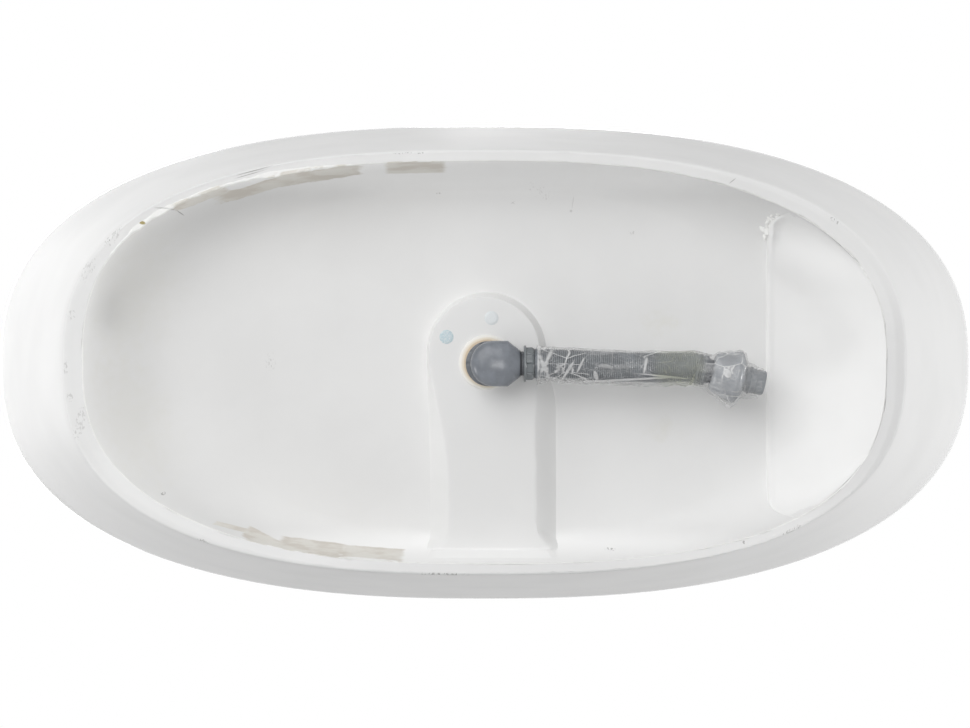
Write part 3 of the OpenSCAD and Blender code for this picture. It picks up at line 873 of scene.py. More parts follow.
@dataclass(frozen=True)
class Basin:
    """The basin with its rim, seen from above."""

    tub: TubForm
    drain: Vector
    segments: int = 224
    rim_width: float = 28 * MM
    inner_round: float = 8 * MM
    floor_a: float = 436 * MM
    floor_b: float = 228 * MM
    floor_top: float = 130 * MM
    floor_thickness: float = 14 * MM
    sweep_height: float = 120 * MM
    sweep_end: float = 170 * MM
    sweep_side: float = 70 * MM
    sweep_angle: float = 65
    wall: float = 12 * MM
    recess_radius: float = 37.5 * MM
    recess_depth: float = 4 * MM
    hole_radius: float = 26 * MM
    slot_width: float = 80 * MM
    slot_height: float = 13 * MM
    slot_drop: float = 100 * MM
    slot_lip: float = 3 * MM

    def sweep(self, share: float, grow: float, base: float, deep: float) -> RingShape:
        """A ring of the floor's sweep into the walls."""
        q = math.radians(self.sweep_angle * share)
        return self.tub.ring(
            self.floor_a + (self.sweep_end + grow) * math.sin(q),
            self.floor_b + (self.sweep_side + grow) * math.sin(q),
            base + (self.sweep_height + deep) * (1 - math.cos(q)),
        )

    def rings(self) -> list[RingShape]:
        """All rings, from the drain's underside round the rim and back to the drain."""
        tub = self.tub
        floor_under = self.floor_top - self.floor_thickness
        hole_low = round_ring(self.drain, self.hole_radius, floor_under)
        flat_low = self.sweep(0, self.wall, floor_under, self.floor_thickness)
        rings = [hole_low]
        rings += [between(hole_low, flat_low, share) for share in (0.25, 0.55, 0.8)]
        steps = 10
        rings += [
            self.sweep(i / steps, self.wall, floor_under, self.floor_thickness)
            for i in range(steps + 1)
        ]
        under = tub.height - tub.rim_height
        top_a, top_b = tub.rim_a - self.rim_width, tub.rim_b - self.rim_width
        rings.append(tub.ring(top_a + 6 * MM, top_b + 8 * MM, under))
        rings.append(tub.ring(*tub.side(under), under))
        flare_top = tub.height - tub.rim_round
        rings.append(tub.ring(*tub.side((under + flare_top) / 2), (under + flare_top) / 2))
        rings += tub.rounded(tub.rim_a, tub.rim_b, flare_top, tub.rim_round, range(0, 91, 15))
        inner_top = tub.height - self.inner_round
        rings += tub.rounded(top_a, top_b, inner_top, self.inner_round, range(90, -1, -15), -1)
        wall_top = rings[-1]
        wall_foot = self.sweep(1, 0, self.floor_top, 0)
        rings += [between(wall_top, wall_foot, i / 12) for i in range(1, 12)]
        rings += [self.sweep(i / 14, 0, self.floor_top, 0) for i in range(14, -1, -1)]
        flat = rings[-1]
        recess = self.recess_radius
        edge = round_ring(self.drain, recess, self.floor_top)
        rings += [between(flat, edge, share) for share in (0.2, 0.45, 0.7, 0.88, 0.96)]
        seat = (
            (recess + 1.2 * MM, 0), (recess + 0.35 * MM, 0.35 * MM), (recess, 1.2 * MM),
            (recess, self.recess_depth), (self.hole_radius, self.recess_depth),
        )
        rings += [round_ring(self.drain, radius, self.floor_top - drop) for radius, drop in seat]
        return rings

    def slot_tool(self) -> Mesh:
        """The cutter of the overflow slot, flared at the basin's face for a round lip."""
        height = self.tub.height - self.slot_drop
        top_b = self.tub.rim_b - self.rim_width
        sweep = math.radians(self.sweep_angle)
        foot_b = self.floor_b + self.sweep_side * math.sin(sweep)
        foot_z = self.floor_top + self.sweep_height * (1 - math.cos(sweep))
        share = (height - foot_z) / (self.tub.height - self.inner_round - foot_z)
        face = foot_b + (top_b - foot_b) * share
        lip = self.slot_lip
        stations = [(-30 * MM, 1.6 * lip), (-1 * MM, 1.6 * lip)]
        for q in map(math.radians, (80, 60, 40, 20, 0)):
            stations.append((lip * (1 - math.sin(q)), lip * (1 - math.cos(q))))
        stations.append((30 * MM, 0.0))
        half_height = self.slot_height / 2
        half_run = self.slot_width / 2 - half_height

        @ring_shape
        def ring(depth: float, grow: float, angle: float) -> Vector:
            """A point of the slot's outline, at a depth behind the face."""
            radius = half_height + grow
            c, s = math.cos(angle), math.sin(angle)
            shift = half_run if c > 0 else -half_run
            return Vector((self.drain.x + shift + radius * c, face + depth, height + radius * s))

        return loft([ring(*station) for station in stations], 48, Ends.CAPPED)

    def build(self, stone: Material) -> Piece:
        """Makes the basin."""
        bm = cut(loft(self.rings(), self.segments), self.slot_tool())
        return settle(bm, "basin", Dress("tub", "cast_stone", stone, ("basin_shell",), 40))


@dataclass(frozen=True)
class Skirt:
    """The flared outer shell with the foot ring it stands on."""

    base: BaseForm
    segments: int = 640
    wall: float = 10 * MM
    foot_round: float = 3 * MM
    trim_width: float = 11 * MM
    trim_depth: float = 2.4 * MM

    @ring_shape
    def toe(self, z: float, grow: float, angle: float) -> Vector:
        """A point of the foot ring's inner edge, slightly uneven as trimmed by hand."""
        base = self.base
        point = base.point(base.toe_a + grow, base.toe_b + grow, z, angle)
        wave = noise.noise(point * 22) * 1.4 + noise.noise(point * 95) * 0.9
        wave += abs(noise.noise(point * 190)) * 0.8
        return point - outwards(point) * (wave + 0.5) * MM

    @ring_shape
    def worn(self, a: float, b: float, z: float, angle: float) -> Vector:
        """A point of a ring of the foot's outer edge, with small knocks."""
        point = self.base.tub.point(a, b, z, angle)
        knock = max(0.0, noise.noise(point * 34) - 0.15) + 0.4 * max(0.0, noise.noise(point * 120))
        return point - outwards(point) * knock * 2.2 * MM * (1 - z / self.foot_round)

    def build(self, stone: Material) -> Piece:
        """Makes the skirt."""
        base, tub = self.base, self.base.tub
        under = tub.height - tub.rim_height
        rings = [
            self.toe(self.trim_depth, 0), self.toe(0.4 * MM, self.trim_width),
            self.toe(0, self.trim_width + 1 * MM),
        ]
        foot = self.worn(tub.foot_a - self.foot_round, tub.foot_b - self.foot_round, 0)
        rings += [between(rings[-1], foot, 0.4), foot]
        for q in map(math.radians, (30, 60, 90)):
            inset = self.foot_round * (1 - math.sin(q))
            z = self.foot_round * (1 - math.cos(q))
            a, b = tub.side(z)
            rings.append(self.worn(a - inset, b - inset, z))
        steps = 20
        for i in range(1, steps + 1):
            z = self.foot_round + (under - self.foot_round) * i / steps
            rings.append(tub.ring(*tub.side(z), z))
        for i in range(8, 0, -1):
            z = under * i / 8
            a, b = tub.side(z)
            rings.append(tub.ring(a - self.wall, b - self.wall, z))
        rings.append(base.ring(base.toe_a + base.edge, base.toe_b + base.edge, base.seat))
        rings.append(self.toe(base.seat, 0))
        bm = loft(rings, self.segments)
        return settle(bm, "skirt", Dress("tub", "cast_stone", stone, ("skirt_shell",), 50))


@dataclass(frozen=True)
class Underside:
    """The base pan, the raised pad at its end and the resin along its joint."""

    base: BaseForm
    drain: Vector
    segments: int = 256
    hole_radius: float = 26 * MM
    pad_edge: float = 436 * MM
    pad_rise: float = 3 * MM
    pad_corner: float = 50 * MM
    pad_front: float = -229 * MM
    pad_back: float = 236 * MM
    pad_scallop: float = 20 * MM
    pad_foot: float = 3 * MM
    pad_blend: float = 12 * MM
    pad_grid: tuple[int, int] = (60, 170)
    pad_roll: float = 6 * MM
    pad_fade: tuple[float, float] = (3 * MM, 22 * MM)
    bow_reach: tuple[float, float] = (70 * MM, 30 * MM)
    ridge_height: float = 8.5 * MM
    ridge_reach: tuple[float, float] = (21 * MM, 2 * MM)
    fill_reach: tuple[float, float] = (225 * MM, 110 * MM)
    pad_sink: float = 2.5 * MM
    toe_gap: float = 2 * MM
    waviness: float = 0.5 * MM
    bead_sides: int = 10
    bead_segments: int = 900
    crumbs: int = 30
    crumb_gap: float = 9 * MM

    @ring_shape
    def wavy(self, ring: RingShape, angle: float) -> Vector:
        """A point of a ring with the low waves of a hand-laid skin."""
        point = ring(angle)
        wave = noise.noise(point * 6.5) + 0.35 * noise.noise(point * 21)
        return point + Vector((0, 0, self.waviness * wave))

    def build_pan(self, stone: Material) -> Piece:
        """Makes the base pan."""
        base = self.base
        hole = round_ring(self.drain, self.hole_radius, base.height)
        flat = base.ring(*base.under_sizes(1))
        rings = [hole]
        rings += [
            self.wavy(between(hole, flat, share)) for share in (0.12, 0.25, 0.4, 0.55, 0.7, 0.85)
        ]
        rings += [
            self.wavy(base.ring(*base.under_sizes(1 - i / 24 * 0.9634))) for i in range(25)
        ]
        rings += [base.ring(*base.top_sizes(i / 10)) for i in range(11)]
        hole_top = round_ring(self.drain, self.hole_radius, base.height + base.thickness)
        rings += [between(rings[-1], hole_top, 0.5), hole_top]
        bm = loft(rings, self.segments)
        return settle(bm, "base_pan_shell", Dress("tub", "cast_stone", stone, ("base_pan",), 50))

    def pad_side(self, y: float) -> tuple[float, float]:
        """Where the pad begins and ends along the tub, at a place across it."""
        base = self.base
        near = min(y - self.pad_front, self.pad_back - y)
        bulge = 1 - math.sqrt(max(0.0, 1 - (1 - min(near / self.pad_scallop, 1)) ** 2))
        reach = narrow(self.drain.x, base.toe_a, lambda x: base.gap(x, y) > self.toe_gap)
        return self.pad_edge + self.pad_corner * bulge, sum(reach) / 2

    def pad_limit(self, far: float) -> float:
        """How far across the pad reaches on one side before its corner meets the toe."""
        def holds(y: float) -> bool:
            """Whether the pad is still some length at a place across it."""
            edge, end = self.pad_side(y)
            return end - edge > 1 * MM

        return narrow(0.0, far, holds)[0]

    def pad_depth(self, spot: Vector) -> float:
        """How far a point lies inside the pad's straight edge and scalloped corners."""
        near = min(spot.y - self.pad_front, self.pad_back - spot.y)
        dx = self.pad_edge + self.pad_corner - spot.x
        if dx <= 0:
            return near
        dy = max(self.pad_scallop - near, 0.0)
        q = math.hypot(dx / self.pad_corner, dy / self.pad_scallop)
        slope = math.hypot(dx / self.pad_corner ** 2, dy / self.pad_scallop ** 2) / q
        return max(0.0, (1 - q) / slope)

    def pad_height(self, spot: Vector) -> float:
        """Height of the pad's face, which fills the cove's steep foot at the tub's end."""
        base = self.base
        gap, depth = base.gap(spot.x, spot.y), self.pad_depth(spot)
        fade = smooth_step(gap, *self.pad_fade)
        roll = math.sqrt(max(0.0, 1 - (1 - min(depth / self.pad_roll, 1)) ** 2))
        bow = smooth_step(spot.y, *(self.pad_front + reach for reach in self.bow_reach))
        lumps = 1 + (0.3 + 0.8 * bow) * noise.noise(spot * 70)
        lip = (2 + 1.2 * bow) * MM * math.exp(-((depth / self.pad_roll - 0.7) ** 2) * 2) * lumps
        ridge = self.ridge_height * bow * smooth_step(depth, *self.ridge_reach)
        wave = self.waviness * noise.noise(spot * 6.5)
        face = base.under_height(spot.x, spot.y) - (self.pad_rise * roll + ridge + lip) * fade
        over = face - gap - self.pad_foot
        fill = (over + math.hypot(over, self.pad_blend)) / 2
        return face + wave - fill * smooth_step(abs(spot.y), *self.fill_reach)

    def build_pad(self, stone: Material) -> Piece:
        """Makes the low raised pad over the end of the pan."""
        bm = bmesh.new()
        front, back = self.pad_limit(self.pad_front), self.pad_limit(self.pad_back)
        columns, rows = self.pad_grid
        bmesh.ops.create_grid(bm, x_segments=columns, y_segments=rows, size=0.5)
        for vert in bm.verts:
            y = front + (back - front) * (vert.co.y + 0.5)
            edge, end = self.pad_side(y)
            spot = Vector((edge + (end - edge) * (vert.co.x + 0.5), y, 0))
            vert.co = spot + Vector((0, 0, max(self.pad_height(spot), self.pad_foot / 2)))
        grown = bmesh.ops.extrude_face_region(bm, geom=bm.faces[:], use_keep_orig=True)["geom"]
        for item in grown:
            if isinstance(item, bmesh.types.BMVert):
                item.co.z = self.base.under_height(item.co.x, item.co.y) + self.pad_sink
        return settle(bm, "end_pad", Dress("tub", "cast_stone", stone, (), 40))

    def build_resin(self, resin: Material) -> Piece:
        """Makes the uneven resin bead along the pan's joint with the foot ring."""
        base = self.base

        @ring_shape
        def ring(around: float, angle: float) -> Vector:
            """A point of one line of the bead's round section, along the whole joint."""
            spine = base.point(base.toe_a - 1 * MM, base.toe_b - 1 * MM, 6 * MM, angle)
            thick = noise.noise(spine * 14) + 0.7 * noise.noise(spine * 55)
            heaped = smooth_step(-spine.x, 0.1, 0.3) * smooth_step(-spine.y, 0.12, 0.22)
            radius = (1.0 + 3.2 * max(0.0, thick + 0.2) * (0.25 + heaped) + 2.4 * heaped) * MM
            bumps = 1 + 0.25 * noise.noise(spine * 210)
            away = outwards(spine) * math.cos(around) + Vector((0, 0, 1.7)) * math.sin(around)
            spot = spine + away * radius * bumps
            spot.z = max(spot.z, 0.8 * MM)
            return spot

        sides = self.bead_sides
        bm = loft([ring(TURN * i / sides) for i in range(sides)], self.bead_segments)
        for i in range(self.crumbs):
            q = math.radians(-35 + 115 * i / self.crumbs)
            size = (2.4 + 8 * abs(noise.noise(Vector((i * 0.77, 3, 0))))) * MM
            stray = 16 * MM * noise.noise(Vector((i * 1.31, 0, 7))) + size * 0.7
            x = self.pad_edge + self.pad_corner - (self.pad_corner + stray) * math.cos(q)
            y = self.pad_front + self.pad_scallop - (self.pad_scallop + stray) * math.sin(q)
            if base.gap(x, y) < self.crumb_gap:
                continue
            spot = Vector((x, y, base.under_height(x, y)))
            crumb = bmesh.ops.create_icosphere(bm, subdivisions=3, radius=size)["verts"]
            for vert in crumb:
                vert.co *= 1 + 0.5 * noise.noise((vert.co + spot) * 110)
            bmesh.ops.scale(bm, verts=crumb, vec=(1.5, 0.75, 0.4))
            bmesh.ops.rotate(bm, verts=crumb, cent=(0, 0, 0), matrix=Matrix.Rotation(i * 2.4, 3, "Z"))
            bmesh.ops.translate(bm, verts=crumb, vec=spot)
        return settle(bm, "bond_resin", Dress("tub", "cast_stone", resin, (), 60))


@dataclass(frozen=True)
class OverflowDuct:
    """The keyhole-shaped overflow duct bonded under the pan."""

    base: BaseForm
    drain: Vector
    face_z: float
    segments: int = 360
    head_radius: float = 84.5 * MM
    head_y: float = -16 * MM
    stem_left: float = 55 * MM
    stem_right: float = 78 * MM
    left_reach: float = 110 * MM
    right_reach: float = 70 * MM
    end_y: float = 270 * MM
    foot_end: float = 298.5 * MM
    face_end: float = 286 * MM
    fillet: float = 12 * MM
    foot_left_stem: float = 86 * MM
    foot_right_stem: float = 113 * MM
    band_left: float = 5 * MM
    band_right: float = 12 * MM
    curl_run: float = 34 * MM
    face_curl: float = 7 * MM
    foot_curl: float = 3 * MM
    overlap: float = 1.5 * MM
    edge_drop: float = 0.35 * MM
    bore: float = 23 * MM
    vent_radius: float = 11 * MM

    def left(self, y: float) -> float:
        """How far the face reaches to the left of the tub's middle."""
        d = (y - self.head_y) / self.left_reach
        return self.stem_left + (self.head_radius - self.stem_left) * math.exp(-d * d)

    def right(self, y: float) -> float:
        """How far the face reaches to the right."""
        d = (y - self.head_y) / self.right_reach
        neck = (self.head_radius - self.stem_right) * math.exp(-d * d)
        flare = 3 * MM * smooth_step(y, 90 * MM, 200 * MM)
        curl = self.face_curl * smooth_step(y, self.face_end - self.curl_run, self.face_end)
        return self.stem_right + neck + flare + curl

    def foot_left(self, y: float) -> float:
        """How far the slope's foot reaches to the left."""
        d = (y - self.head_y) / self.left_reach
        curl = self.foot_curl * smooth_step(y, self.foot_end - self.curl_run, self.foot_end)
        return self.foot_left_stem + 3.5 * MM * math.exp(-d * d) + curl

    def foot_right(self, y: float) -> float:
        """How far the slope's foot reaches to the right."""
        near = self.head_radius + self.band_right
        return near + (self.foot_right_stem - near) * smooth_step(y, self.head_y, 75 * MM)

    def outline(self, share: float, out: float) -> Vector:
        """A point of the duct's outline.

        Args:
            share: How far round it, from 0 to 1: the head to 0.4, the right side to
                0.65, the stem's end to 0.75, then the left side.
            out: 0 for the flat face's edge and 1 for the foot of its sloped sides.

        Returns:
            The point, at height 0.
        """
        share %= 1
        end = self.end_y + (self.foot_end - self.end_y) * out
        run = end - self.head_y
        if share < 0.4:
            q = math.pi * (1 + share / 0.4)
            band = self.band_left + (self.band_right - self.band_left) * smooth_step(share, 0, 0.4)
            r = self.head_radius + band * out
            return Vector((r * math.cos(q), self.head_y + r * math.sin(q), 0))
        if share < 0.65:
            y = self.head_y + run * (share - 0.4) / 0.25
            x = self.right(y) + (self.foot_right(y) - self.right(y)) * out
            return Vector((x, y, 0))
        y = end - run * max(share - 0.75, 0) / 0.25
        left = self.left(y) + (self.foot_left(y) - self.left(y)) * out
        if share >= 0.75:
            return Vector((-left, y, 0))
        right = self.right(y) + (self.foot_right(y) - self.right(y)) * out
        return Vector((right - (left + right) * (share - 0.65) / 0.1, end, 0))

    @ring_shape
    def ring(self, t: float, sink: float, angle: float) -> Vector:
        """A point of the sloped side, with t from 0 at the face to 1 at the pan."""
        share = angle / TURN % 1
        cove = smooth_step(share, 0.63, 0.655) * smooth_step(share, 0.77, 0.745)
        spot = self.outline(share, 0).lerp(self.outline(share, 1), t)
        slope = 0.7 * t + 0.3 * smooth_step(t, 0, 1)
        under = self.base.under_height(spot.x, spot.y)
        side = self.face_z + (under + self.overlap * t - self.face_z) * slope + sink
        pan = under + (2.3 * t - 0.8) * MM
        near = max(0.0, 1 - abs(self.face_z - pan) / self.fillet)
        end = min(self.face_z, pan) - near * near * self.fillet / 4 * (1 - t)
        wave = 0.3 * MM * noise.noise(spot * 30) * (1 - t)
        return Vector((spot.x, spot.y, side + (end - side) * cove + wave))

    @ring_shape
    def face_ring(self, share: float, angle: float) -> Vector:
        """A point of the flat face, from the bore at 0 to just inside the outline at 1."""
        edge = self.ring(0, 0)(angle)
        out = outwards(edge - self.drain)
        hole = self.drain + out * self.bore
        inner = Vector((edge.x, edge.y, 0)) - out * 1.5 * MM
        spot = hole.lerp(inner, share)
        return Vector((spot.x, spot.y, self.face_z))

    def build(self, stone: Material) -> Piece:
        """Makes the duct."""
        deep = self.base.height + self.overlap

        @ring_shape
        def inside(ring: RingShape, angle: float) -> Vector:
            """A point of a ring that is moved up into the pan."""
            spot = ring(angle)
            return Vector((spot.x, spot.y, deep))

        rings = [inside(self.face_ring(0))]
        rings += [self.face_ring(share) for share in (0, 0.35, 0.7, 0.92, 1)]
        rings.append(self.ring(0, self.edge_drop))
        rings += [self.ring(t / 14, self.edge_drop * (1 - t / 14)) for t in range(1, 15)]
        rings += [self.ring(1.0, 2 * MM), inside(lambda angle: self.outline(angle / TURN, 0.25))]
        bm = loft(rings, self.segments)
        return settle(bm, "duct", Dress("tub", "cast_stone", stone, ("overflow_duct",), 45))

    def build_vents(self, plug: Material) -> Piece:
        """Makes the two small vent plugs in the face."""
        low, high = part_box("vent_plugs")
        spots = (
            Vector((low[0] + self.vent_radius, high[1] - self.vent_radius, 0)),
            Vector((high[0] - self.vent_radius, low[1] + self.vent_radius, 0)),
        )
        proud = self.face_z - low[2]
        bm = bmesh.new()
        for spot in spots:
            disc = turned([
                (0, self.face_z - proud), (self.vent_radius * 0.6, self.face_z - proud * 0.9),
                (self.vent_radius * 0.93, self.face_z - proud * 0.5),
                (self.vent_radius, self.face_z + 0.2 * MM), (0, self.face_z + 0.2 * MM),
            ], 48)
            place(disc, Matrix.Translation(spot))
            mesh = to_mesh(disc, "disc")
            bm.from_mesh(mesh)
            bpy.data.meshes.remove(mesh)
        return settle(bm, "vents", Dress("tub", "vent_plug", plug, ("vent_plugs",)))


# ================= Waste =================


@dataclass(frozen=True)
class Waste:
    """The click waste, from its plug in the basin down to the back nut."""

    drain: Vector
    face_z: float
    flange_under: float = 128 * MM
    flange_radius: float = 36 * MM
    bore: float = 19.5 * MM
    tail: float = 22.5 * MM
    tail_end: float = 50 * MM
    tail_pitch: float = 2 * MM
    cap_under: float = 133 * MM
    cap_radius: float = 33 * MM
    cap_height: float = 5 * MM
    washer_radius: float = 42 * MM
    washer_slip: tuple[float, float] = (-2.5 * MM, -2 * MM)
    nut_radius: float = 34.5 * MM
    nut_height: float = 10 * MM
    nut_notches: int = 10
    notch_depth: float = 2.6 * MM
    washer_height: float = 4 * MM

    def _settle(self, bm: Mesh, name: str, dress: Dress) -> Piece:
        """Puts a turned piece on the drain's axis and finishes it."""
        place(bm, Matrix.Translation(self.drain))
        return settle(bm, name, dress)

    def build_flange(self, chrome: Material) -> Piece:
        """Makes the flange and its threaded tail."""
        top = self.flange_under + 3 * MM
        pitch = self.tail_pitch
        profile = [
            (self.bore, self.tail_end), (self.bore, self.flange_under),
            (self.bore + 3 * MM, self.flange_under + 2 * MM), (self.bore + 6 * MM, top),
            (self.flange_radius - 1.5 * MM, top), (self.flange_radius - 0.4 * MM, top - 0.5 * MM),
            (self.flange_radius, self.flange_under + 0.8 * MM), (self.flange_radius, self.flange_under),
            (self.tail, self.flange_under),
        ]
        threads = int((self.flange_under - self.tail_end - 4 * MM) / pitch)
        for i in range(threads):
            z = self.flange_under - 2 * MM - i * pitch
            profile += [(self.tail, z), (self.tail - 0.8 * MM, z - pitch / 2)]
        profile.append((self.tail - 0.6 * MM, self.tail_end))
        bm = turned(profile, 128)
        return self._settle(bm, "waste_flange", Dress("tub", "chrome", chrome, ("waste_body",), 35))

    def build_plug(self, chrome: Material, rubber: Material) -> None:
        """Makes the plug's domed cap and its seal."""
        r, low, tall = self.cap_radius, self.cap_under, self.cap_height
        dome = 1.6 * MM
        profile = [(0, low + tall)]
        profile += [
            (r * 0.93 * i / 12, low + tall - dome * (i / 12) ** 2) for i in range(1, 13)
        ]
        profile += [
            (r * 0.975, low + tall - dome - 0.5 * MM), (r, low + tall - dome - 1.5 * MM),
            (r, low + 1 * MM), (r - 1 * MM, low), (12 * MM, low), (8 * MM, low),
            (8 * MM, low - 3 * MM), (5.6 * MM, low - 3 * MM), (5.6 * MM, low + 2.9 * MM),
            (0, low + 2.9 * MM),
        ]
        cap = turned(profile, 128)
        self._settle(cap, "cap", Dress("plug", "chrome", chrome, ("plug_cap",), 35))
        seal_top = low - 0.02 * MM
        seal = turned([
            (self.bore + 3 * MM, low - 1.9 * MM), (r - 3 * MM, low - 2 * MM),
            (r - 2.2 * MM, low - 1.4 * MM), (r - 2 * MM, low - 0.7 * MM),
            (r - 2.6 * MM, seal_top), (self.bore + 3 * MM, seal_top),
        ], 128)
        self._settle(seal, "seal_ring", Dress("plug", "dark_rubber", rubber, ("plug_seal",)))

    def build_washer(self, tan: Material) -> Piece:
        """Makes the soft washer against the duct's face."""
        low, high = self.face_z - self.washer_height, self.face_z
        bulge = 1.2 * MM
        bm = turned([
            (self.tail + 0.2 * MM, low), (self.washer_radius - bulge, low),
            (self.washer_radius - 0.3 * MM, low + 0.9 * MM), (self.washer_radius, low + 2 * MM),
            (self.washer_radius - 0.3 * MM, high - 0.9 * MM), (self.washer_radius - bulge, high),
            (self.tail + 0.2 * MM, high),
        ], 128)
        for vert in bm.verts:
            reach = Vector((vert.co.x, vert.co.y)).length
            share = (reach - self.tail) / (self.washer_radius - self.tail)
            vert.co += Vector((*self.washer_slip, 0)) * share
        return self._settle(bm, "washer", Dress("tub", "tan_rubber", tan, ("lower_washer",), 50))

    def build_nut(self, plastic: Material) -> Piece:
        """Makes the back nut with its finger notches."""
        low = self.face_z - self.washer_height - self.nut_height
        high = low + self.nut_height
        radius, bore = self.nut_radius, self.tail + 0.1 * MM
        origin = Vector((0, 0, 0))

        @ring_shape
        def rim(size: float, z: float, angle: float) -> Vector:
            """A point of the notched outside."""
            across = abs((angle / TURN * self.nut_notches) % 1 - 0.5) * 2
            r = size - self.notch_depth * (1 - smooth_step(1 - across, 0.1, 0.32))
            return Vector((r * math.cos(angle), r * math.sin(angle), z))

        rings = [
            round_ring(origin, bore, low), rim(radius - 1 * MM, low),
            rim(radius - 0.3 * MM, low + 0.3 * MM), rim(radius, low + 1 * MM),
            rim(radius, high - 2.2 * MM), round_ring(origin, radius, high - 2 * MM),
            round_ring(origin, radius, high - 0.4 * MM), round_ring(origin, radius - 0.4 * MM, high),
            round_ring(origin, bore, high),
        ]
        bm = loft(rings, 240)
        return self._settle(bm, "nut_under_duct", Dress("tub", "grey_plastic", plastic, ("back_nut",)))


# ================= Elbow =================


@dataclass(frozen=True)
class Elbow:
    """The swivelling elbow with its outlet nut."""

    drain: Vector
    outlet_z: float
    cup_radius: float = 34.5 * MM
    cup_offset: float = 7.5 * MM
    half_height: float = 26 * MM
    dome_height: float = 20 * MM
    straight_end: float = 29.6 * MM
    chamfer_end: float = 49 * MM
    thread_depth: float = 1.9 * MM
    thread_pitch: float = 1.8 * MM
    threads: int = 3
    neck_radius: float = 19.7 * MM
    neck_end: float = 63 * MM
    bore: float = 15.5 * MM
    collar_bore: float = 22.56 * MM
    collar_low: float = 12 * MM
    collar_high: float = 40 * MM
    nut_start: float = 54 * MM
    nut_end: float = 70 * MM
    nut_radius: float = 27.5 * MM
    nut_sides: int = 10
    nut_groove: float = 2.4 * MM

    def cup_profile(self) -> Profile:
        """Radius and height of the cup, from the pole below to the middle above."""
        low, high = self.outlet_z - self.half_height, self.outlet_z + self.half_height
        r = self.cup_radius
        dome = [
            (r * math.sin(q) ** 0.86, low + self.dome_height * (1 - math.cos(q) ** 0.8))
            for q in (math.radians(90 * i / 14) for i in range(1, 14))
        ]
        return [
            (0, low), *dome, (r, low + self.dome_height), (r, self.outlet_z + 4 * MM),
            (r, high - 3.5 * MM), (r - 1 * MM, high - 1 * MM), (r - 3 * MM, high), (0, high),
        ]

    def set_reach(self, vert: bmesh.types.BMVert, radius: float) -> None:
        """Moves a vertex to a distance from the outlet's axis."""
        away = Vector((0, vert.co.y, vert.co.z - self.outlet_z)).normalized() * radius
        vert.co.y, vert.co.z = away.y, away.z + self.outlet_z

    def build_body(self, plastic: Material) -> Piece:
        """Makes the cup, the square shoulder and the round neck as one moulding."""
        bm = turned(self.cup_profile(), 40, math.pi, (0, 1))
        bmesh.ops.remove_doubles(bm, verts=bm.verts, dist=WELD)
        loop = [edge for edge in bm.edges if edge.is_boundary]
        run, slope = self.straight_end - self.cup_offset, self.chamfer_end - self.straight_end
        neck, spans = self.neck_radius, 6
        steps = [(run / 2, 0.0, neck), (run, 0.0, neck)]
        steps += [
            (run + slope * i / spans, 1 / (spans + 1 - i), neck) for i in range(1, spans + 1)
        ]
        for i in range(self.threads):
            x = run + slope + (i + 0.15) * self.thread_pitch
            steps += [
                (x, 1.0, neck - self.thread_depth), (x + 0.7 * self.thread_pitch, 1.0, neck - 0.3 * MM),
            ]
        steps.append((self.neck_end - self.cup_offset, 1.0, neck))
        here = 0.0
        for x, share, target in steps:
            fresh, loop = extrude_loop(bm, loop, (x - here, 0, 0))
            here = x
            for vert in fresh:
                away = Vector((0, vert.co.y, vert.co.z - self.outlet_z))
                self.set_reach(vert, away.length + (target - away.length) * share)
        for radius, back in ((self.bore, 0.0), (self.bore, 20 * MM), (0.0, 0.0)):
            fresh, loop = extrude_loop(bm, loop, (-back, 0, 0))
            for vert in fresh:
                self.set_reach(vert, radius)
        soften(bm, 0.7 * MM, 38, 2)
        place(bm, Matrix.Translation((self.drain.x + self.cup_offset, self.drain.y, 0)))
        collar = turned([
            (0, self.outlet_z + self.collar_low), (self.collar_bore, self.outlet_z + self.collar_low),
            (self.collar_bore, self.outlet_z + self.collar_high),
            (0, self.outlet_z + self.collar_high),
        ])
        place(collar, Matrix.Translation(self.drain))
        bm = cut(bm, collar)
        return settle(bm, "elbow_cup", Dress("elbow", "grey_plastic", plastic, ("elbow_body",), 34))

    def build_nut(self, plastic: Material) -> Piece:
        """Makes the ten-sided outlet nut with its flange."""
        radius, part = self.nut_radius, TURN / self.nut_sides

        @ring_shape
        def faceted(r: float, x: float, flat: float, angle: float) -> Vector:
            """A point of a ring of the nut, from round at flat 0 to ten-sided at flat 1."""
            q = (angle + part / 2) % part - part / 2
            facet = math.cos(part / 2) / math.cos(q)
            notch = math.exp(-((abs(q) - part / 2) / 0.05) ** 2)
            size = r * (1 + (facet - 1) * flat) - self.nut_groove * notch * flat
            return Vector((size * math.cos(angle), size * math.sin(angle), x))

        start, end = self.nut_start, self.nut_end
        inner, throat = self.neck_radius + 1.4 * MM, 19 * MM
        rows = (
            (inner, start, 0), (radius - 0.6 * MM, start, 0), (radius, start + 0.5 * MM, 0),
            (radius, start + 2.6 * MM, 0), (radius - 0.5 * MM, start + 3.1 * MM, 0),
            (radius - 1.8 * MM, start + 3.3 * MM, 1), (radius - 1.6 * MM, end - 4.5 * MM, 1),
            (radius - 2.6 * MM, end - 2.4 * MM, 0.8), (radius - 5 * MM, end - 0.4 * MM, 0.2),
            (radius - 5.8 * MM, end, 0), (throat, end, 0), (throat, end - 3 * MM, 0),
            (inner, end - 3 * MM, 0),
        )
        bm = loft([faceted(*row) for row in rows], 160)
        place(bm, along(Vector((self.drain.x, self.drain.y, self.outlet_z)), Vector((1, 0, 0))))
        return settle(bm, "hose_nut", Dress("outlet_nut", "grey_plastic", plastic, ("outlet_nut",), 20))


# ================= Hose =================


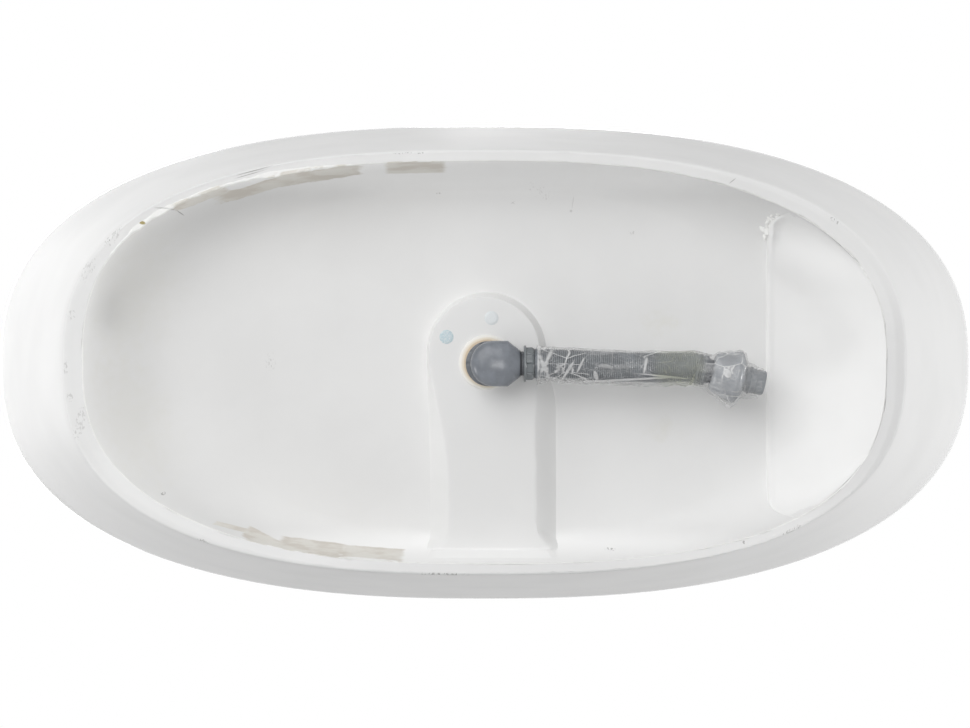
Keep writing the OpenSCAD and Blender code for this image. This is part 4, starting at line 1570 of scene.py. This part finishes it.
@dataclass(frozen=True)
class Spine:
    """A smooth line with a length, which the hose and its film follow."""

    points: tuple[Vector, ...]
    marks: tuple[float, ...]

    @classmethod
    def through(cls, knots: Sequence[Vector], tail: float, steps: int = 16) -> "Spine":
        """Runs a smooth line through knots and on in a straight line.

        Args:
            knots: The points that it passes through.
            tail: The length of the straight run beyond the last knot.
            steps: Steps between two knots.

        Returns:
            The spine.
        """
        points: list[Vector] = []
        last = len(knots) - 1
        for i in range(last):
            p0, p1, p2, p3 = (knots[min(max(i + k, 0), last)] for k in (-1, 0, 1, 2))
            for j in range(steps):
                u = j / steps
                points.append(0.5 * (
                    2 * p1 + (p2 - p0) * u + (2 * p0 - 5 * p1 + 4 * p2 - p3) * u * u
                    + (3 * p1 - p0 - 3 * p2 + p3) * u * u * u
                ))
        points.append(knots[-1].copy())
        ahead = (knots[-1] - knots[-2]).normalized()
        points.append(knots[-1] + ahead * tail)
        marks = [0.0]
        for before, after in zip(points, points[1:]):
            marks.append(marks[-1] + (after - before).length)
        return cls(tuple(points), tuple(marks))

    @property
    def knee(self) -> float:
        """The length up to the last knot, where the straight run begins."""
        return self.marks[-2]

    def at(self, length: float) -> Vector:
        """The point at a length along the spine."""
        last = len(self.marks) - 2
        i = next((i for i in range(last) if length <= self.marks[i + 1]), last)
        span = self.marks[i + 1] - self.marks[i]
        return self.points[i].lerp(self.points[i + 1], (length - self.marks[i]) / span)

    def ring(self, length: float, radius: Callable[[float], float]) -> RingShape:
        """A ring square to the spine, with its own radius at each angle."""
        centre = self.at(length)
        ahead = (self.at(length + 1.5 * MM) - self.at(max(length - 1.5 * MM, 0))).normalized()
        side = Vector((0, 0, 1)).cross(ahead).normalized()
        up = ahead.cross(side)

        def shape(angle: float) -> Vector:
            """A point of the ring, with angle 0 towards +Y."""
            return centre + (side * math.cos(angle) + up * math.sin(angle)) * radius(angle)
        return shape


@dataclass(frozen=True)
class HoseLine:
    """The corrugated hose with its end pieces and the film around them."""

    origin: Vector
    radius: float = 23 * MM
    pitch: float = 3 * MM
    groove: float = 1.7 * MM
    hose_wall: float = 3 * MM
    liner_wall: float = 1.5 * MM
    root_depth: float = 3.5 * MM
    cuff_skin: float = 1.2 * MM
    knot_at: float = 49 * MM
    tip_radius: float = 10.5 * MM
    tip_end: float = 34 * MM
    taper_end: float = 24 * MM
    spigot_radius: float = 19 * MM
    spigot_end: float = 96 * MM
    film_start: float = 1 * MM
    film_end: float = 88 * MM
    film_rest: float = 0.4 * MM
    film_rings: int = 190

    def knots(self) -> list[Vector]:
        """The route's points, in the tub's frame."""
        route = (
            (0, 0, 0), (10, 0, 0), (20, 0, 0), (70, 2, 0), (130, 5, 0), (190, 6, 2),
            (235, 5.6, 4), (245, 7.8, 4), (255, 10, 4),
        )
        return [self.origin + Vector(p) * MM for p in route]

    def spine(self) -> Spine:
        """The line of the hose and the straight run through its end pieces."""
        return Spine.through(self.knots(), self.spigot_end)

    def settle_end(self, bm: Mesh, name: str, dress: Dress) -> Piece:
        """Puts a piece turned about Z on the hose's free end and finishes it."""
        knots = self.knots()
        place(bm, along(knots[-1], (knots[-1] - knots[-2]).normalized()))
        return settle(bm, name, dress)

    def liner(self) -> Profile:
        """Radius and length beyond the knee of the hose's smooth end inside its cuff."""
        root = self.radius - self.root_depth - self.cuff_skin
        return [
            (self.radius - 1.5 * MM, 0.1 * MM), (root, 3.4 * MM), (root, 6 * MM),
            (root - 2.6 * MM, 11 * MM), (self.tip_radius + 2 * MM - self.cuff_skin, 19 * MM),
            (self.tip_radius - self.cuff_skin, self.taper_end),
        ]

    @staticmethod
    def end_ring(spine: Spine, length: float, radius: float) -> RingShape:
        """A round ring at a length beyond the knee."""
        return spine.ring(spine.knee + length, lambda angle: radius)

    def build_hose(self, plastic: Material) -> Piece:
        """Makes the corrugated hose with its smooth tapered end."""
        spine = self.spine()
        per_pitch = 6
        count = int(spine.knee / self.pitch * per_pitch)

        def outer(length: float) -> RingShape:
            """A ring of the ribbed outside."""
            near = min(length, spine.knee - length)
            ribs = smooth_step(near, 1 * MM, 4 * MM)
            wave = 0.5 - 0.5 * math.cos(TURN * length / self.pitch)
            r = self.radius - self.groove * ribs * wave ** 1.5
            return spine.ring(length, lambda angle: r)

        rings = [outer(spine.knee * i / count) for i in range(count + 1)]
        liner = self.liner()
        rings += [self.end_ring(spine, length, radius) for radius, length in liner]
        rings += [
            self.end_ring(spine, length, radius - self.liner_wall)
            for radius, length in reversed(liner)
        ]
        bore = self.radius - self.hose_wall
        rings += [
            spine.ring(spine.knee * i / 12, lambda angle: bore) for i in range(12, -1, -1)
        ]
        bm = loft(rings, 44)
        return settle(bm, "ribbed_hose", Dress("elbow", "grey_plastic", plastic, ("waste_hose",), 60))

    def build_cuff(self, plastic: Material) -> Piece:
        """Makes the tapered cuff on the hose's end."""
        root = self.radius - self.root_depth
        inner = [(radius + 0.05 * MM, length) for radius, length in self.liner()]
        bm = turned([
            inner[0], (self.radius - 0.5 * MM, inner[0][1]), (self.radius, 0.6 * MM),
            (self.radius, 2.2 * MM), (self.radius - 0.8 * MM, 3 * MM), (root, 3.4 * MM),
            (root, 6 * MM), (root - 2.6 * MM, 11 * MM), (self.tip_radius + 2 * MM, 19 * MM),
            (self.tip_radius, self.taper_end), (self.tip_radius, self.tip_end),
            (self.tip_radius - 2.5 * MM, self.tip_end), *reversed(inner[1:]),
        ])
        dress = Dress("elbow", "grey_plastic", plastic, ("hose_end_cuff",))
        return self.settle_end(bm, "tapered_cuff", dress)

    def build_seal(self, soft: Material) -> Piece:
        """Makes the bell-shaped soft seal."""
        tight, wall = self.spigot_radius + 0.1 * MM, 3 * MM
        bell = (
            (18, 11), (23, 11.6), (27, 13.2), (29.5, 16), (31.5, 22), (34, 30), (36.8, 39),
            (39, 45.5), (39.8, 48.8), (39.4, 51.5), (36.5, 54.5), (30, 58), (24, 61),
        )
        outside = [(radius * MM, length * MM) for radius, length in bell]
        inside = [
            (tight, 62.5 * MM), (tight, 58.5 * MM), (28 * MM, 54.5 * MM), (35 * MM, 51 * MM),
            *((radius - wall, length) for radius, length in reversed(outside[3:8])),
            (24 * MM, 16 * MM), (18 * MM, 14.5 * MM),
        ]
        bm = turned([*outside, *inside], 128)
        for vert in bm.verts:
            vert.co += outwards(vert.co) * (0.9 * MM * noise.noise(vert.co * 45))
        dress = Dress("elbow", "soft_seal", soft, ("floor_seal",), 40)
        return self.settle_end(bm, "bell_seal", dress)

    def build_spigot(self, plastic: Material) -> Piece:
        """Makes the outlet spigot beyond the seal."""
        r, tip = self.spigot_radius, self.tip_radius
        bm = turned([
            (tip + 0.05 * MM, 26 * MM), (tip + 2.5 * MM, 26 * MM), (tip + 2.5 * MM, 38 * MM),
            (r - 0.6 * MM, 38 * MM), (r, 38.6 * MM), (r, 69 * MM), (r + 1.5 * MM, 69 * MM),
            (r + 2 * MM, 69.6 * MM), (r + 2 * MM, 71.4 * MM), (r + 1.5 * MM, 72 * MM),
            (r, 72 * MM), (r, 78 * MM), (r - 0.5 * MM, 78.4 * MM), (r - 0.5 * MM, 79.6 * MM),
            (r, 80 * MM), (r, 90 * MM), (r - 1.5 * MM, 93 * MM), (r - 3 * MM, 93 * MM),
            (r - 3 * MM, 42 * MM), (tip - 1 * MM, 42 * MM), (tip - 1 * MM, 34.1 * MM),
            (tip + 0.05 * MM, 34.1 * MM),
        ])
        dress = Dress("elbow", "grey_plastic", plastic, ("outlet_spigot",), 35)
        return self.settle_end(bm, "spigot", dress)

    def film_radius(self, length: float, knee: float) -> float:
        """How far the film stands off the spine before it is crumpled."""
        hose, spigot = self.radius + 2 * MM, self.spigot_radius + 2.5 * MM
        stops = (
            (0.0, hose + 2.5 * MM), (18 * MM, hose), (knee + 1 * MM, hose),
            (knee + 9 * MM, hose + 1 * MM), (knee + 16 * MM, 32 * MM), (knee + 34 * MM, 37.5 * MM),
            (knee + 49 * MM, 42 * MM), (knee + 55 * MM, 39.5 * MM), (knee + 64 * MM, spigot + 4 * MM),
            (knee + 88 * MM, spigot),
        )
        return blend(stops, length)

    def build_film(self, film: Material) -> Piece:
        """Makes the crumpled clear film."""
        spine = self.spine()
        knee = spine.knee
        start, end = self.film_start, knee + self.film_end

        def radius(length: float) -> Callable[[float], float]:
            """The crumpled radius round the film at a length."""
            base = self.film_radius(length, knee)

            def at(angle: float) -> float:
                """The radius at an angle, where 0 is towards +Y."""
                probe = Vector((length * 46, math.cos(angle) * 1.5, math.sin(angle) * 1.5))
                big = noise.noise(probe)
                fine = abs(noise.noise(probe * 2.7 + Vector((7, 3, 1))))
                loose = 0.45 + 0.55 * smooth_step(math.cos(angle), -0.8, 0.5)
                crumple = (1.9 * big + 2.2 * fine) * loose * MM
                drift = 0.25 * noise.noise(Vector((length * 30, 0, 4)))
                fold = math.exp(-((angle - drift) / 0.17) ** 2)
                fold *= (3 + 3.5 * noise.noise(Vector((length * 60, 5, 5)))) * MM
                pinch = 5 * MM * math.exp(-((length - knee - self.knot_at) / (6 * MM)) ** 2)
                pinch *= math.exp(-(angle / 0.2) ** 2)
                return base + max(crumple, -0.8 * MM) + max(fold, 0.0) + pinch
            return at

        lengths = [
            start + (end - start) * i / self.film_rings for i in range(self.film_rings + 1)
        ]
        bm = loft([spine.ring(length, radius(length)) for length in lengths], 96, Ends.OPEN)
        for vert in bm.verts:
            vert.co.z = max(vert.co.z, self.film_rest)
        return settle(bm, "film", Dress("elbow", "film", film, ("film_wrap",), 22))

    def declare(self) -> None:
        spine = self.spine()
        count = 40
        full = spine.knee + self.taper_end
        path = [spine.at(full * i / count) for i in range(count + 1)]


# ================= Studio =================


@dataclass(frozen=True)
class Lamp:
    """One soft square lamp that looks at the tub."""

    name: str
    place: tuple[float, float, float]
    size: float
    power: float


@dataclass(frozen=True)
class Studio:
    """Camera, lamps, floor and world."""

    distance: float = 3.2
    shift: tuple[float, float] = (1 * MM, 2.6 * MM)
    lens: float = 79.3
    sensor: float = 36
    aim: tuple[float, float, float] = (0, 0, 0.2)
    floor_size: float = 9
    floor_drop: float = 0.5 * MM
    floor_shade: float = 0.84
    floor_glow: float = 0.04
    world_level: float = 0.41
    lamps: tuple[Lamp, ...] = (
        Lamp("under_left", (-2.3, -3.0, -4.5), 5.4, 199),
        Lamp("low_left", (-3.1, 1.2, -0.65), 1.0, 18),
        Lamp("low_right", (8.6, 1.2, -0.36), 0.6, 300),
        Lamp("over_left", (-2.6, -0.4, 4.4), 3.0, 34),
        Lamp("overhead", (0.25, -0.42, 4.6), 1.6, 42),
        Lamp("by_camera", (0.2, 0.12, -3.3), 0.35, 10),
    )

    def build_camera(self) -> None:
        """Puts the camera under the tub, looking straight up, with the back side down."""
        data = bpy.data.cameras.new("camera")
        data.lens = self.lens
        data.sensor_width = self.sensor
        camera = link("camera", data)
        camera.location = (*self.shift, -self.distance)
        camera.rotation_euler = (math.pi, 0, 0)
        bpy.context.scene.camera = camera

    def build_lamps(self) -> None:
        """Hangs the lamps."""
        for lamp in self.lamps:
            data = bpy.data.lights.new(lamp.name, "AREA")
            data.shape = "SQUARE"
            data.size = lamp.size
            data.energy = lamp.power
            item = link(lamp.name, data)
            item.location = lamp.place
            aim = Vector(self.aim) - Vector(lamp.place)
            item.rotation_euler = aim.to_track_quat("-Z", "Y").to_euler()

    def build_floor(self) -> None:
        """Lays a pale floor that is there from above only."""
        bm = bmesh.new()
        bmesh.ops.create_grid(bm, x_segments=1, y_segments=1, size=self.floor_size)
        bmesh.ops.translate(bm, verts=bm.verts, vec=(0, 0, -self.floor_drop))
        floor = link("floor", to_mesh(bm, "floor"))
        graph = Graph.of_material("pale_floor")
        pale = graph.node("ShaderNodeBsdfDiffuse", None, {"Color": grey(self.floor_shade)})
        glow = graph.node("ShaderNodeEmission", None, {"Color": grey(self.floor_glow)})
        lit = graph.node("ShaderNodeAddShader", None, {0: pale.outputs[0], 1: glow.outputs[0]})
        seen = graph.node("ShaderNodeLightPath").outputs["Is Camera Ray"]
        clear = graph.node("ShaderNodeBsdfTransparent")
        below = graph.node("ShaderNodeNewGeometry").outputs["Backfacing"]
        both = graph.mix_shader(below, graph.mix_shader(seen, pale, lit), clear)
        floor.data.materials.append(graph.finish(both))
        for kind in ("shadow", "diffuse", "glossy", "transmission"):
            setattr(floor, f"visible_{kind}", False)

    def build_world(self) -> None:
        """Makes the world white to look at and a soft grey as light."""
        scene = bpy.context.scene
        scene.view_settings.view_transform = "Standard"
        graph = Graph(bpy.data.worlds.new("world"), "ShaderNodeOutputWorld")
        scene.world = graph.owner
        path = graph.node("ShaderNodeLightPath")
        camera, glossy, through = (
            Signal(graph, path.outputs[f"Is {kind} Ray"])
            for kind in ("Camera", "Glossy", "Transmission")
        )
        light = graph.node("ShaderNodeBackground", None, {"Color": grey(self.world_level)})
        white = graph.node("ShaderNodeBackground", None, {"Color": grey(1)})
        graph.finish(graph.mix_shader(camera | glossy | through, light, white))

    def build(self) -> None:
        """Sets everything up."""
        self.build_camera()
        self.build_lamps()
        self.build_floor()
        self.build_world()


# ================= Assembly =================


def strip(
    x: float, y: float, reach: tuple[float, float], turn: float = 0,
    ragged: float = 0.5, soft: float = 0.3, strength: float = 1,
) -> Mark:
    """A mark on the pan and its coves, from millimetres along and across the tub."""
    size = (reach[0] * MM, reach[1] * MM, 0.11)
    return Mark((x * MM, y * MM, 0.05), size, turn, ragged, soft, strength=strength)


def brushed(
    x: float, y: float, reach: tuple[float, float], turn: float, ragged: float = 0.7,
) -> Mark:
    """A straight-sided patch on the pan's coves, from millimetres along and across."""
    size = (reach[0] * MM, reach[1] * MM, 1)
    return Mark((x * MM, y * MM, 0), size, turn, ragged, 0.22, True)


def knock(
    x: float, y: float, reach: tuple[float, float], turn: float = 0, ragged: float = 0.5,
    strength: float = 1,
) -> Mark:
    """A mark on the foot ring only, from millimetres along and across the tub."""
    size = (reach[0] * MM, reach[1] * MM, 9 * MM)
    return Mark((x * MM, y * MM, 0), size, turn, ragged, 0.4, strength=strength)


# Brushed patches of tan resin on the cove's wall
RESIN_PATCHES = (
    brushed(-430, -248, (43, 4.5), -22), brushed(-350, -264, (62, 6.5), -16.4),
    brushed(-250, -286, (66, 8), -8.7, 0.5), brushed(-105, -297, (47, 7.5), -1, 0.2),
    brushed(-385, 250, (27, 2.6), 15.3), brushed(-333, 270, (34, 7.5), 25, 0.4),
    brushed(-262, 281, (50, 9), 8, 0.3), brushed(-171, 290, (50, 7), 4.5, 0.3),
)
# Thin dark lines along the joint
JOINT_CRACKS = (
    strip(-482, -231, (18, 1.2), 2, 0.5, 0.6), strip(-462, -227, (7, 1.2), 38, 0.6, 0.6),
    strip(-345, -287, (43, 1.1), -15, 0.6, 0.6), strip(-352, -281.5, (30, 0.9), -16, 0.8, 0.6),
    strip(137, -248, (1.1, 15), 8, 0.4, 0.6, 0.45), strip(134, -234, (3, 3), 0, 0.6, 0.5, 0.5),
    strip(44, -247, (6, 1), -35, 0.4, 0.6, 0.45), strip(45, -246, (5, 0.9), 28, 0.4, 0.6, 0.4),
    strip(372, -272, (9, 1.2), -38, 0.4, 0.5, 0.8),
)
# Specks, scribbles and smears on the pan
PAN_MARKS = (
    strip(192, 286, (9, 2.6), 0, 0.4), strip(-488, 199, (3.4, 3), 20, 0.4),
    strip(230, -200, (8, 7), 30, 1.6, 0.6, 0.45), strip(88, -262, (24, 11), 30, 2.4, 0.9, 0.4),
    strip(-71, -261, (5, 2), 0, 0.5),
    strip(-330, 0, (9, 20), 10, 2.2, 0.8, 0.4),
)
# Knocks and specks along the foot ring
FOOT_MARKS = (
    knock(146, 317, (27, 1.6), -2, 1), knock(213, 314, (16, 1.8), -3, 0.8),
    knock(299, 305, (25, 3), -9, 1.2), knock(389, 283, (7, 3), -5, 0.5),
    knock(389, 270, (2.5, 3), 0, 0.5), knock(458, 257, (20, 7), -35, 1.6, 0.8),
    knock(-556, -190, (22, 8), -55, 1.8, 0.45), knock(-563, -181, (4, 2.4), -50, 0.5),
    knock(-594, -139, (20, 9), -65, 2, 0.4), knock(-618, -71, (7, 9), 0, 1.4, 0.45),
    knock(-627, 8, (4, 11), 0, 1, 0.5), knock(-621, 52, (5, 8), 0, 1.2, 0.5),
    knock(-606, 92, (9, 26), 14, 2, 0.45), knock(-112, -313, (24, 1.8), -2, 0.8),
    knock(-420, 271, (14, 5), 22, 1.8, 0.7), knock(-60, 318, (40, 3), 1, 2),
    knock(526, -212, (10, 4), 30, 1.4, 0.8),
)
# Warm blushes where the skin is thin
PAN_BLUSHES = (
    strip(-530, -100, (90, 150), 20, 1, 1, 0.3), strip(-530, 90, (80, 140), -20, 1, 1, 0.3),
    strip(272, -62, (40, 30), 0, 1.5, 0.9, 0.4), strip(276, 104, (40, 26), 0, 1.5, 0.9, 0.4),
)
# Painted shade: greyer patches laid over the foot ring
RING_SHADE = (
    Mark((0.575, 0.075, 0), (0.09, 0.2, 0.009), 20, 0.3, 0.6, strength=0.6),
    Mark((0.02, 0.311, 0), (0.35, 0.03, 0.009), 0, 0.3, 0.7, strength=0.35),
    Mark((-0.6, -0.02, 0), (0.06, 0.3, 0.009), 0, 0.8, 0.8, strength=0.25),
)
# Painted shade: a dark band on the elbow's neck, in the gap before the outlet nut
NECK_GAP_SHADE = (Mark((0.0572, 0.002, 0.038), (0.0036, 0.03, 1), 0, 0, 0.3, True),)
AMBER_DROPS = (Mark((-0.5125, -0.209, 0), (0.006, 0.0032, 0.1), 12, 0.3, 0.5),)
# White marks on the film: crease bands and painted glints
FILM_CREASES_AND_GLINTS = (
    Mark((0.089, 0.004, 0.03), (0.031, 0.0055, 0.06), 66, 1.5, 0.7),
    Mark((0.092, 0.002, 0.03), (0.031, 0.0045, 0.06), -64, 1.5, 0.7),
    Mark((0.081, 0.0, 0.03), (0.004, 0.03, 0.06), 4, 2.4, 0.8),
    Mark((0.126, 0.012, 0.03), (0.02, 0.0025, 0.06), -58, 1.6, 0.6),
    Mark((0.145, 0.004, 0.03), (0.016, 0.0022, 0.06), -64, 1.4, 0.6),
    Mark((0.168, 0.02, 0.01), (0.009, 0.0035, 0.06), 72, 1.2, 0.5),
    # Painted highlight: the glint on the film over the bell seal
    Mark((0.3645, 0.0165, 0.01), (0.009, 0.0065, 0.05), 70, 0.5, 0.4),
    Mark((0.242, 0.006, 0.02), (0.003, 0.016, 0.05), 12, 1.2, 0.6),
    Mark((0.22, 0.026, 0.02), (0.085, 0.0022, 0.05), -3, 1.6, 0.6),
    Mark((0.27, 0.021, 0.02), (0.05, 0.0018, 0.05), 6, 1.6, 0.6),
)
OLIVE_FILM = (Mark((0.295, 0.006, 0.03), (0.045, 0.05, 0.07), 0, 0.6, 0.5),)


def dress_cad_nodes(finishes: dict[str, Material]) -> None:
    """Gives the CAD nodes that stay in view their materials.

    Args:
        finishes: A material for each such node, by the node's name.
    """
    for name, material in finishes.items():
        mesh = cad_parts[name].data
        mesh.materials.clear()
        mesh.materials.append(material)
        LOG.info("%s: CAD solid in %s", name, material.name)


def main() -> None:
    """Builds the studio and every piece of the tub."""
    logging.basicConfig(level=logging.INFO, format="%(message)s")
    Studio().build()

    low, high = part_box("plug_cap")
    drain = Vector(((low[0] + high[0]) / 2, (low[1] + high[1]) / 2, 0))
    face_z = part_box("overflow_duct")[0][2]
    outlet_z = (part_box("outlet_nut")[0][2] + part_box("outlet_nut")[1][2]) / 2
    hose_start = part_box("waste_hose")[0][0]
    tub = TubForm.from_frame()
    base = BaseForm.from_frame(tub)

    chrome = Metal("chrome", (0.78, 0.79, 0.8, 1), 0.06).build()
    plastic = Plastic("grey_plastic", (0.125, 0.136, 0.152, 1), 0.24).build()
    cup_plastic = Plastic("cup_plastic", (0.164, 0.178, 0.2, 1), 0.2, gap_shade=NECK_GAP_SHADE).build()
    nut_plastic = Plastic("nut_plastic", (0.15, 0.164, 0.172, 1), 0.26).build()
    dark_plastic = Plastic("hose_plastic", (0.19, 0.205, 0.22, 1), 0.28).build()
    rubber = Plastic("dark_rubber", (0.045, 0.045, 0.047, 1), 0.6).build()

    line = HoseLine(Vector((hose_start, drain.y, outlet_z)))
    hose = line.build_hose(dark_plastic)
    cuff = line.build_cuff(plastic)
    seal = line.build_seal(Plastic("soft_seal", (0.31, 0.325, 0.345, 1), 0.18).build())
    # Painted light: the spigot's plastic is a lighter copy of the grey plastic, standing in for the
    # film's reflections over it
    spigot = line.build_spigot(Plastic("spigot_plastic_lightened", (0.245, 0.26, 0.275, 1), 0.26).build())
    film = line.build_film(ClearFilm(whitened_and_glints=FILM_CREASES_AND_GLINTS, olive=OLIVE_FILM).build())
    line.declare()

    under = CastStone(
        "stone_underside", StoneSkin.UNDERSIDE, patches=RESIN_PATCHES, cracks=JOINT_CRACKS,
        scuffs=PAN_MARKS, blush_and_shade_marks=PAN_BLUSHES,
    ).build()
    Basin(tub, drain).build(CastStone("stone_polished", StoneSkin.POLISHED).build())
    Skirt(base).build(
        CastStone(
            # Painted shade: the grey blush marks darken parts of the foot ring
            "stone_outer", StoneSkin.OUTER, base=(0.86, 0.86, 0.855, 1), blush_and_shade_tint=grey(0.72),
            cracks=JOINT_CRACKS, scuffs=FOOT_MARKS, blush_and_shade_marks=RING_SHADE,
        ).build()
    )
    underside = Underside(base, drain)
    underside.build_pan(under)
    underside.build_pad(
        # Painted light: the pad's stone is a lighter copy of the underside stone, so the end pad reads
        # brighter
        CastStone("stone_pad_lightened", StoneSkin.UNDERSIDE, base=(0.89, 0.89, 0.885, 1)).build()
    )
    underside.build_resin(
        BondResin(patches=RESIN_PATCHES, cracks=JOINT_CRACKS, drops=AMBER_DROPS).build()
    )

    duct = OverflowDuct(base, drain, face_z)
    # Painted light: the end of the duct's stem, past 283 mm off the middle, is lightened
    duct.build(CastStone("stone_duct", StoneSkin.UNDERSIDE, painted_light_from=0.283, painted_light_to=0.29).build())
    duct.build_vents(VentPaint(covered_from=-20 * MM).build())

    waste = Waste(drain, face_z)
    waste.build_flange(chrome)
    waste.build_plug(chrome, rubber)
    middle = (drain.x - 2 * MM, drain.y - 1.6 * MM, 0)
    waste.build_washer(TanWasher(middle, inner=33.8 * MM, outer=40.5 * MM).build())
    waste.build_nut(plastic)

    elbow = Elbow(drain, outlet_z)
    elbow.build_body(cup_plastic)
    elbow.build_nut(nut_plastic)

    dress_cad_nodes({
        "overflow_riser": under, "flange_gasket": rubber, "cartridge_body": chrome,
        "cartridge_spring": Metal("spring_steel", (0.5, 0.5, 0.51, 1), 0.2).build(),
        "plug_stem": chrome, "elbow_oring": rubber, "cone_washer": rubber,
        "hose_inlet_cuff": plastic,
    })


if __name__ == "__main__":
    main()
